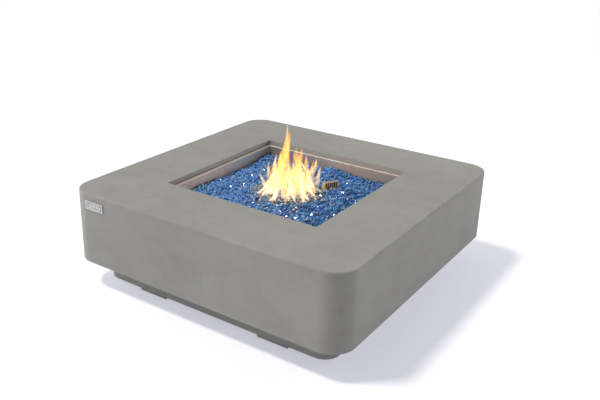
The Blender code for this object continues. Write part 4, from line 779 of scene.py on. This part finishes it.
panel = cube_between("recessed_panel", (PANEL_LOW.x, PANEL_FRONT - FLANGE_THICK, PANEL_LOW.z), PANEL_HIGH)
with editing(panel):
    pick(panel, "EDGE", from_front_to_back)
    bpy.ops.mesh.bevel(offset=PANEL_CORNER, segments=8, affect="EDGES")
pan_x, pan_z = PANEL_HIGH.x - FLANGE_WIDE, CONTROL_Z - PANEL_LOW.z - FLANGE_WIDE
body = cube_between("pan", (-pan_x, PANEL_FACE - PANEL_SHEET, CONTROL_Z - pan_z),
                    (pan_x, PANEL_FRONT - 0.0004, CONTROL_Z + pan_z))
recess = cube_between("recess", (PANEL_SHEET - pan_x, PANEL_FACE, CONTROL_Z - pan_z + PANEL_SHEET),
                      (pan_x - PANEL_SHEET, PANEL_FRONT + 0.02, CONTROL_Z + pan_z - PANEL_SHEET))
for shape, radius in ((body, 0.0040), (recess, 0.0025)):
    with editing(shape):
        pick(shape, "EDGE", lambda edge: from_front_to_back(edge)
             or max(vert.co.y for vert in edge.verts) < PANEL_FACE + 1e-4)
        bpy.ops.mesh.bevel(offset=radius, segments=5, affect="EDGES")
carve(panel, body, operation="UNION")
screw_places = [(side * SCREW_REACH[0], CONTROL_Z + end * SCREW_REACH[1]) for side in (-1, 1) for end in (-1, 1)]
carve(panel, recess, along_y("neck", KNOB_X, CONTROL_Z, 0.45, 0.52, NECK_HOLE, 48),
      along_y("barrel", IGNITER_X, CONTROL_Z, 0.45, 0.52, BARREL_HOLE, 48),
      *(along_y("hole", x, z, 0.52, 0.55, SCREW_HOLE) for x, z in screw_places))
round_edges(panel, 0.0007, 3, lambda at: at.y > PANEL_FRONT - 1e-4
            and (abs(at.x) > pan_x - 0.006 or abs(at.z - CONTROL_Z) > pan_z - 0.006)
            and all(math.hypot(at.x - x, at.z - z) > 0.003 for x, z in screw_places))
shade(panel)
panel_steel = brushed_steel("panel_steel", (0.60, 0.595, 0.58), (0.50, 0.49, 0.475), 1100, 0.32, "X")
finish_piece(panel, panel_steel, "table", "stainless_steel", "control_panel")

printed = []
for number in range(DIAL_BARS):
    turn, length = math.radians(DIAL_FROM + DIAL_STEP * number), 0.0014 + 0.00050 * number
    bar = cube_between("dial_mark", (-0.0007, INK_UNDER, DIAL_REACH), (0.0007, INK_TOP, DIAL_REACH + length))
    bar.data.transform(Matrix.Translation((KNOB_X, 0, CONTROL_Z)) @ Matrix.Rotation(turn, 4, "Y"))
    printed.append(bar)
printed.append(along_y("dial_mark", KNOB_X, SIGN_Z, INK_UNDER, INK_TOP, 0.0013))
bpy.ops.object.select_all(action="DESELECT")
bpy.ops.mesh.primitive_circle_add(vertices=len(SPARK), radius=0.003, fill_type="NGON")
spark = bpy.context.object
for vert, (x, z) in zip(spark.data.vertices, SPARK):
    vert.co = (IGNITER_X + x, INK_TOP, SIGN_Z + z)
with editing(spark):
    bpy.ops.mesh.select_all(action="SELECT")
    bpy.ops.mesh.extrude_region_move(TRANSFORM_OT_translate={"value": (0, INK_UNDER - INK_TOP, 0)})
    bpy.ops.mesh.select_all(action="SELECT")
    bpy.ops.mesh.normals_make_consistent(inside=False)
printed.append(spark)
dial = printed.pop(0)
carve(dial, *printed, operation="UNION")


def moulded(name, colour, scuffed, roughness, grain=420, **constants):
    """Moulded or painted stuff: one colour with fine grain, scuffs and a faint texture."""
    finish = Finish(name, **constants)
    clouds, fine = finish.noise(16, 4, 0.6), finish.noise(grain, 2, 0.6)
    scuffs = finish.noise(1.0, 3, 0.7, finish.stretched((90, 260, 140))).between(0.60, 0.75)
    shown = finish.mix(clouds.between(0.3, 0.7) * 0.5 + scuffs * 0.4, colour, scuffed)
    return finish.show(Base_Color=shown, Roughness=roughness + clouds * 0.08 - 0.04 + scuffs * 0.12,
                       Normal=finish.bump(fine, 0.00004, 0.35))


ink = moulded("printing_ink", (0.020, 0.020, 0.022), (0.05, 0.05, 0.05), 0.5)
finish_piece(dial, ink, "table", "black_plastic")


# The knob is moulded black plastic: a fluted skirt with a tapered grip across it. The pointer let into the grip
# is white.
KNOB_BASE, KNOB_TOP = PANEL_FACE + 0.010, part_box("control_knob")[1].y
KNOB_SKIRT = KNOB_BASE + 0.007
KNOB_RADIUS, SKIRT_ROUNDING, GRIP_HALF, STEM_BORE, POINTER_GAP = 0.020, 0.0030, 0.005, 0.0033, 0.0003
FLUTES, FLUTE_RADIUS, FLUTE_OUTSIDE = 20, 0.0014, 0.0008


def lathe(name, profile, centre, steps=64):
    """A profile of (radius, y) points spun round an axis along Y."""
    mesh = bpy.data.meshes.new(name)
    mesh.from_pydata([(centre[0] + radius, y, centre[1]) for radius, y in profile],
                     [(at, at + 1) for at in range(len(profile) - 1)], [])
    piece = placed(name, mesh)
    with editing(piece):
        bpy.ops.mesh.select_all(action="SELECT")
        bpy.ops.mesh.spin(steps=steps, angle=2 * math.pi, center=(centre[0], 0, centre[1]), axis=(0, 1, 0))
        bpy.ops.mesh.select_all(action="SELECT")
        bpy.ops.mesh.remove_doubles(threshold=1e-6)
        bpy.ops.mesh.normals_make_consistent(inside=False)
    return piece


def arc(radius, y, rounding, steps=5):
    """A rounded corner of a lathe profile, from its side to its top."""
    return [(radius - rounding * (1 - math.cos(turn)), y - rounding * (1 - math.sin(turn)))
            for turn in (math.pi / 2 * step / steps for step in range(steps + 1))]


def rods_round(name, centre, reach, count, start, near, far, radius, vertices):
    """Cylinders along Y, evenly round an axis."""
    turns = (2 * math.pi * (number + start) / count for number in range(count))
    return [along_y(name, centre[0] + reach * math.cos(turn), centre[1] + reach * math.sin(turn), near, far,
                    radius, vertices) for turn in turns]


knob_at = (KNOB_X, CONTROL_Z)
knob = lathe("gas_knob", [(0, KNOB_BASE), (KNOB_RADIUS, KNOB_BASE), *arc(KNOB_RADIUS, KNOB_SKIRT, SKIRT_ROUNDING),
                          (0, KNOB_SKIRT)], knob_at, 96)
carve(knob, *rods_round("flute", knob_at, KNOB_RADIUS + FLUTE_OUTSIDE, FLUTES, 0.5, KNOB_BASE + 0.0016, KNOB_TOP,
                        FLUTE_RADIUS, 16))
grip = cube_between("grip", (KNOB_X - GRIP_HALF, KNOB_SKIRT - 0.002, CONTROL_Z - KNOB_RADIUS + 0.002),
                    (KNOB_X + GRIP_HALF, KNOB_TOP, CONTROL_Z + KNOB_RADIUS - 0.002))
with editing(grip):
    pick(grip, "FACE", lambda face: face.normal.y > 0.9)
    bpy.ops.transform.resize(value=(0.80, 1, 0.94))
    pick(grip, "EDGE", from_front_to_back)
    bpy.ops.mesh.bevel(offset=GRIP_HALF * 0.7, segments=6, affect="EDGES")
round_edges(grip, 0.0009, 3, lambda at: at.y > KNOB_TOP - 1e-4)
carve(knob, grip, operation="UNION")
pointer_low, pointer_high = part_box("knob_pointer")
carve(knob, along_y("bore", *knob_at, KNOB_BASE - 0.01, KNOB_BASE + 0.014, STEM_BORE, 32),
      cube_between("mark_slot", pointer_low - Vector((POINTER_GAP, POINTER_GAP, POINTER_GAP)),
                   pointer_high + Vector((POINTER_GAP, 0.003, POINTER_GAP))))
shade(knob, 35)
black_plastic = moulded("black_plastic", (0.014, 0.014, 0.015), (0.045, 0.045, 0.047), 0.42)
finish_piece(knob, black_plastic, "knob", "black_plastic", "control_knob")


# The igniter's cap is a knurled screw cap of the same plastic, with a polished push button in it. Its ring holds
# the battery in the barrel behind.
CAP_SEAT, CAP_TOP, CAP_RADIUS, BUTTON_RADIUS = PANEL_FACE + 0.0036, PANEL_FACE + 0.0086, 0.0135, 0.0050
CAP_PLUG, CAP_WELL, CAP_HOLE, CAP_BACK = 0.0075, 0.0066, 0.0053, PANEL_FACE - 0.0010
BUTTON_TOP = CAP_TOP + 0.0040
GROOVES, GROOVE_RADIUS, GROOVE_OUTSIDE = 30, 0.0008, 0.00035
RING_INNER, RING_OUTER, RING_DEEP = 0.0105, 0.0115, 0.0003
cap_shoulder = CAP_SEAT + 0.00175
igniter_at = (IGNITER_X, CONTROL_Z)
cap = lathe("knurled_cap", [(CAP_HOLE, CAP_TOP - 0.0004), (CAP_HOLE + 0.0004, CAP_TOP), (RING_INNER, CAP_TOP),
                            (RING_INNER + RING_DEEP, CAP_TOP - RING_DEEP),
                            (RING_OUTER - RING_DEEP, CAP_TOP - RING_DEEP), (RING_OUTER, CAP_TOP),
                            *reversed(arc(CAP_RADIUS, CAP_TOP, 0.0010)), (CAP_RADIUS, CAP_SEAT),
                            (CAP_PLUG, CAP_SEAT), (CAP_PLUG, CAP_BACK), (CAP_WELL, CAP_BACK),
                            (CAP_WELL, cap_shoulder), (CAP_HOLE, cap_shoulder), (CAP_HOLE, CAP_TOP - 0.0004)],
            igniter_at, 96)
carve(cap, *rods_round("groove", igniter_at, CAP_RADIUS + GROOVE_OUTSIDE, GROOVES, 0, CAP_SEAT + 0.0007,
                       CAP_TOP + 0.01, GROOVE_RADIUS, 12))
shade(cap, 35)
finish_piece(cap, black_plastic, "cap", "black_plastic", "igniter_cap")
button = lathe("push_button", [(0, BUTTON_TOP - 0.0005), (0.0030, BUTTON_TOP - 0.00025), (0.0037, BUTTON_TOP),
                               *reversed(arc(BUTTON_RADIUS, BUTTON_TOP, 0.0011)),
                               (BUTTON_RADIUS, cap_shoulder - 0.0003), (CAP_WELL - 0.0003, cap_shoulder - 0.0003),
                               (CAP_WELL - 0.0003, cap_shoulder - 0.0018), (0, cap_shoulder - 0.0018)],
               igniter_at, 64)
shade(button, 35)
polished = brushed_steel("polished_steel", (0.70, 0.695, 0.68), (0.62, 0.61, 0.60), 700, 0.17, "Y")
finish_piece(button, polished, "button", "stainless_steel", "igniter_button")


# Four pan-head screws hold the panel's flange, one in each corner. One is turned and given its cross recess,
# and the four are copies of it, each left at its own angle as a screwdriver leaves them.
SCREW_HEAD, SCREW_RIM, SCREW_SHANK = 0.0015, 0.0038, 0.0020
CROSS_HALF, CROSS_WIDE, CROSS_DEEP = 0.0019, 0.0008, 0.0010
first_low, first_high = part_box("panel_screw_1")
screw_seat = first_high.y - SCREW_HEAD
screw_top = first_high.y
screw_master = lathe("panel_screw", [(0, screw_top), (SCREW_RIM * 0.55, screw_top - 0.00012),
                                     (SCREW_RIM * 0.85, screw_top - 0.0005), (SCREW_RIM, screw_seat + 0.0005),
                                     (SCREW_RIM, screw_seat), (SCREW_SHANK, screw_seat),
                                     (SCREW_SHANK, first_low.y + 0.0015), (0, first_low.y)], (0, 0), 32)
carve(screw_master, *(cube_between("cross", (-x, screw_top - CROSS_DEEP, -z), (x, screw_top + 0.01, z))
                      for x, z in ((CROSS_HALF, CROSS_WIDE / 2), (CROSS_WIDE / 2, CROSS_HALF))))
shade(screw_master, 35)
for number in range(1, 5):
    low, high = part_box(f"panel_screw_{number}")
    screw = screw_master.copy()
    screw.data = screw_master.data.copy()
    screw.name = f"pan_screw_{number}"
    bpy.context.scene.collection.objects.link(screw)
    screw.data.transform(Matrix.Translation(((low.x + high.x) / 2, 0, (low.z + high.z) / 2))
                         @ Matrix.Rotation(0.5 * number, 4, "Y"))
    finish_piece(screw, polished, "table", "stainless_steel", f"panel_screw_{number}")
bpy.data.objects.remove(screw_master)


# The rest keeps the shapes of the CAD model, which already are what these parts are: turned brass fittings,
# rolled tube, hex bolts, a pressed base frame, moulded barrels and wires. Each gets its real surface here.
def cast_or_turned(name, colour, deep, roughness, scale=60, turned=False):
    """Bare metal: cloudy tone, fine pits or turning lines, and darker where it has dulled."""
    finish = Finish(name, Metallic=1.0, Roughness=roughness)
    clouds = finish.noise(scale, 4, 0.6)
    fine = finish.noise(scale * 14, 2, 0.6, finish.stretched((1, 1, 6)) if turned else None)
    shown = finish.mix(clouds.between(0.32, 0.70), colour, deep)
    shown = finish.mix(fine.between(0.55, 0.8) * 0.3, shown, tuple(0.5 * c for c in deep))
    return finish.show(Base_Color=shown, Roughness=roughness - 0.07 + clouds * 0.16,
                       Normal=finish.bump(fine, 0.00005, 0.4))


def zinc_coat(name):
    """Hot-dip zinc: grey spangles that each reflect a little differently."""
    finish = Finish(name, Metallic=0.9, Roughness=0.42)
    spangle = finish.node("TexVoronoi", {"feature": "F1"}, {"Vector": finish.place, "Scale": 95}, output="Color")
    lot = finish.node("SeparateColor", None, [spangle])
    clouds = finish.noise(7, 4, 0.6)
    shown = finish.mix(lot, (0.42, 0.435, 0.445), (0.60, 0.615, 0.62))
    shown = finish.mix(clouds.between(0.45, 0.75) * 0.5, shown, (0.66, 0.67, 0.66))
    return finish.show(Base_Color=shown, Roughness=0.34 + lot * 0.16 + clouds * 0.06,
                       Normal=finish.bump(lot, 0.00004, 0.3))


satin_steel = brushed_steel("satin_steel", (0.58, 0.575, 0.56), (0.46, 0.45, 0.435), 600, 0.33, "Z")
brass = cast_or_turned("turned_brass", (0.74, 0.54, 0.24), (0.52, 0.35, 0.15), 0.28, 60, True)
copper = cast_or_turned("dulled_copper", (0.72, 0.37, 0.23), (0.42, 0.20, 0.12), 0.36, 90)
SURFACES = (
    (satin_steel, "ring_burner burner_standoff_front burner_standoff_back gas_line valve_stem battery_spring "
                  "pilot_bracket electrode_rod bracket_screw guard_screw_left guard_screw_right"),
    (zinc_coat("zinc_coat"), "base_plate " + " ".join(f"base_{kind}_{end}_{side}" for kind in ("bolt", "washer")
                                                      for end in ("front", "back") for side in ("left", "right"))),
    (brass, "inlet_nipple tray_locknut_upper tray_locknut_lower air_mixer gas_elbow burner_line_nut valve_line_nut "
            "gas_inlet_fitting valve_neck_nut thermocouple_nut valve_plug"),
    (copper, "thermocouple_lead thermocouple_tip"),
    (cast_or_turned("cast_aluminium", (0.60, 0.605, 0.61), (0.46, 0.465, 0.47), 0.5, 120),
     "gas_valve igniter_battery"),
    (black_plastic, "igniter_housing igniter_nut"),
    (moulded("black_rubber", (0.018, 0.018, 0.018), (0.05, 0.05, 0.048), 0.75, 200), "hose_grommet"),
    (moulded("red_silicone", (0.42, 0.035, 0.022), (0.50, 0.08, 0.055), 0.45, 300), "igniter_lead"),
    (moulded("white_ceramic", (0.80, 0.79, 0.75), (0.60, 0.56, 0.48), 0.22, 300, Coat_Weight=0.4),
     "electrode_insulator"),
    (moulded("white_paint", (0.82, 0.82, 0.80), (0.66, 0.66, 0.63), 0.45), "knob_pointer"))
for surface, names in SURFACES:
    for name in names.split():
        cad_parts[name].data.materials.clear()
        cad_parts[name].data.materials.append(surface)


# The flame isn't part of the table. It is a bundle of burning tongues that start at the ring's ports, lean in
# over the burner like a tent and rise to one tall tip. Each spire has its place aside and forward, its tip's
# height and its width.
FLAME_FOOT = 0.284
FLAME_TIP = 0.536
FLAME_LEGS = 26
FLAME_COLOURS = ((0.0, (1.0, 0.58, 0.40)), (0.22, (1.0, 0.64, 0.32)), (0.55, (1.0, 0.58, 0.21)),
                 (1.0, (1.0, 0.42, 0.13)))
FLAME_SHADE = (1.0, 0.94, 0.82)
FIRELIGHT_POWER, FIRELIGHT_COLOUR, FIRELIGHT_SIZE, FIRELIGHT_Z = 0.38, (1.0, 0.60, 0.28), 0.05, 0.36
SPIRES = ((-0.010, 0.02, 0.552, 0.018), (-0.002, 0.0, 0.520, 0.021), (-0.018, -0.02, 0.492, 0.020),
          (-0.030, 0.02, 0.462, 0.020), (-0.052, 0.0, 0.440, 0.021), (-0.076, 0.01, 0.412, 0.017),
          (-0.104, 0.0, 0.372, 0.012), (0.016, 0.02, 0.468, 0.020), (0.038, -0.01, 0.458, 0.021),
          (0.060, 0.01, 0.446, 0.019), (0.092, -0.01, 0.426, 0.013), (0.078, 0.03, 0.424, 0.016),
          (0.112, 0.0, 0.396, 0.011), (0.0, 0.05, 0.425, 0.018), (-0.03, -0.05, 0.430, 0.020),
          (0.03, -0.05, 0.430, 0.020))
sideways, frontways = Vector((across.x, across.y, 0)), Vector((across.y, -across.x, 0))
flame_draw = random.Random(5)


def tongue(curve, foot, tip, width, sway):
    """One tongue: a spline that leans in from its foot and then rises, thick below its middle."""
    spline = curve.splines.new("POLY")
    steps = 26
    spline.points.add(steps)
    bend = foot.lerp(tip, 0.66)
    bend.z = foot.z + (tip.z - foot.z) * 0.36
    phase, wave = flame_draw.uniform(0, 6.28), flame_draw.uniform(8, 14)
    for step, point in enumerate(spline.points):
        t = step / steps
        at = foot.lerp(bend, t).lerp(bend.lerp(tip, t), t)
        at += sideways * sway * t * (1 - t * 0.5) * math.sin(wave * t + phase)
        at += frontways * sway * 0.7 * t * math.cos(wave * 0.8 * t + phase * 1.7)
        point.co = (*at, 1)
        swell = (0.22 + 0.78 * min(1, t / 0.34)) * max(0.0, 1 - t) ** 0.7
        point.radius = width * swell * (1 + 0.25 * math.sin(15 * t + phase)) + 0.0001


def flame_bundle(name, tongues):
    """Many tongues as one curve, which lights nothing and throws no shadow."""
    curve = bpy.data.curves.new(name, "CURVE")
    curve.dimensions, curve.bevel_depth, curve.bevel_resolution = "3D", 1.0, 3
    for foot, tip, width, sway in tongues:
        tongue(curve, foot, tip, width, sway)
    flame = placed(name, curve)
    flame.visible_shadow = flame.visible_diffuse = False
    return flame


def burning_gas(name, strength, edge):
    """Glowing gas that tints what is behind it and adds its light, most where it is thick."""
    finish = Finish(name)
    z = finish.axes()[2]
    rise = z.between(FLAME_FOOT - 0.006, FLAME_TIP - 0.06)
    colour = finish.node("ValToRGB", {"stops": FLAME_COLOURS}, [rise])
    facing = 1 - finish.node("LayerWeight", None, {"Blend": 0.5}, output="Facing")
    streaks = finish.noise(1.0, 3, 0.6, finish.stretched((75, 75, 14)))
    lit = z.between(FLAME_FOOT - 0.010, FLAME_FOOT + 0.014)
    glow = facing ** edge * (streaks.between(0.35, 0.65) + 0.25) * lit
    emission = finish.node("Emission", None, {"Color": colour, "Strength": glow * strength})
    clear = finish.node("BsdfTransparent")
    smoky = finish.node("BsdfTransparent", None, {"Color": FLAME_SHADE})
    behind = finish.node("MixShader", None, [facing ** edge, clear, smoky])
    both = finish.node("AddShader", None, [emission, behind])
    finish.tree.links.new(both.socket, finish.tree.nodes["Material Output"].inputs["Surface"])
    return finish.material


def port(bearing, reach):
    return Vector((reach * math.cos(bearing), reach * math.sin(bearing), FLAME_FOOT))


legs, core = [], []
for number in range(FLAME_LEGS):
    bearing = 2 * math.pi * (number + flame_draw.uniform(-0.4, 0.4)) / FLAME_LEGS
    reach = flame_draw.uniform(0.084, 0.124)
    tip = port(bearing + flame_draw.uniform(-0.35, 0.35), reach * flame_draw.uniform(0.20, 0.62))
    tip.z += flame_draw.uniform(0.055, 0.130)
    legs.append((port(bearing, reach), tip, flame_draw.uniform(0.0060, 0.0115), 0.009))
for aside, forward, height, width in SPIRES:
    tip = sideways * aside + frontways * forward + Vector((0, 0, height))
    for spread in (-0.6, 0.0, 0.6):
        bearing = math.atan2(tip.y, tip.x) + spread + flame_draw.uniform(-0.25, 0.25)
        lower = tip - Vector((0, 0, 0.020 * abs(spread)))
        core.append((port(bearing, flame_draw.uniform(0.030, 0.082)), lower, width, 0.007))
flame_bundle("flame_legs", legs).data.materials.append(burning_gas("flame_leg_gas", 0.85, 1.5))
flame_bundle("flame_core", core).data.materials.append(burning_gas("flame_core_gas", 0.34, 1.7))
bpy.context.scene.cycles.transparent_max_bounces = 96
firelight = placed("firelight", bpy.data.lights.new("firelight", "POINT"))
firelight.data.energy, firelight.data.color = FIRELIGHT_POWER, FIRELIGHT_COLOUR
firelight.data.shadow_soft_size = FIRELIGHT_SIZE
firelight.location = (0, 0, FIRELIGHT_Z)
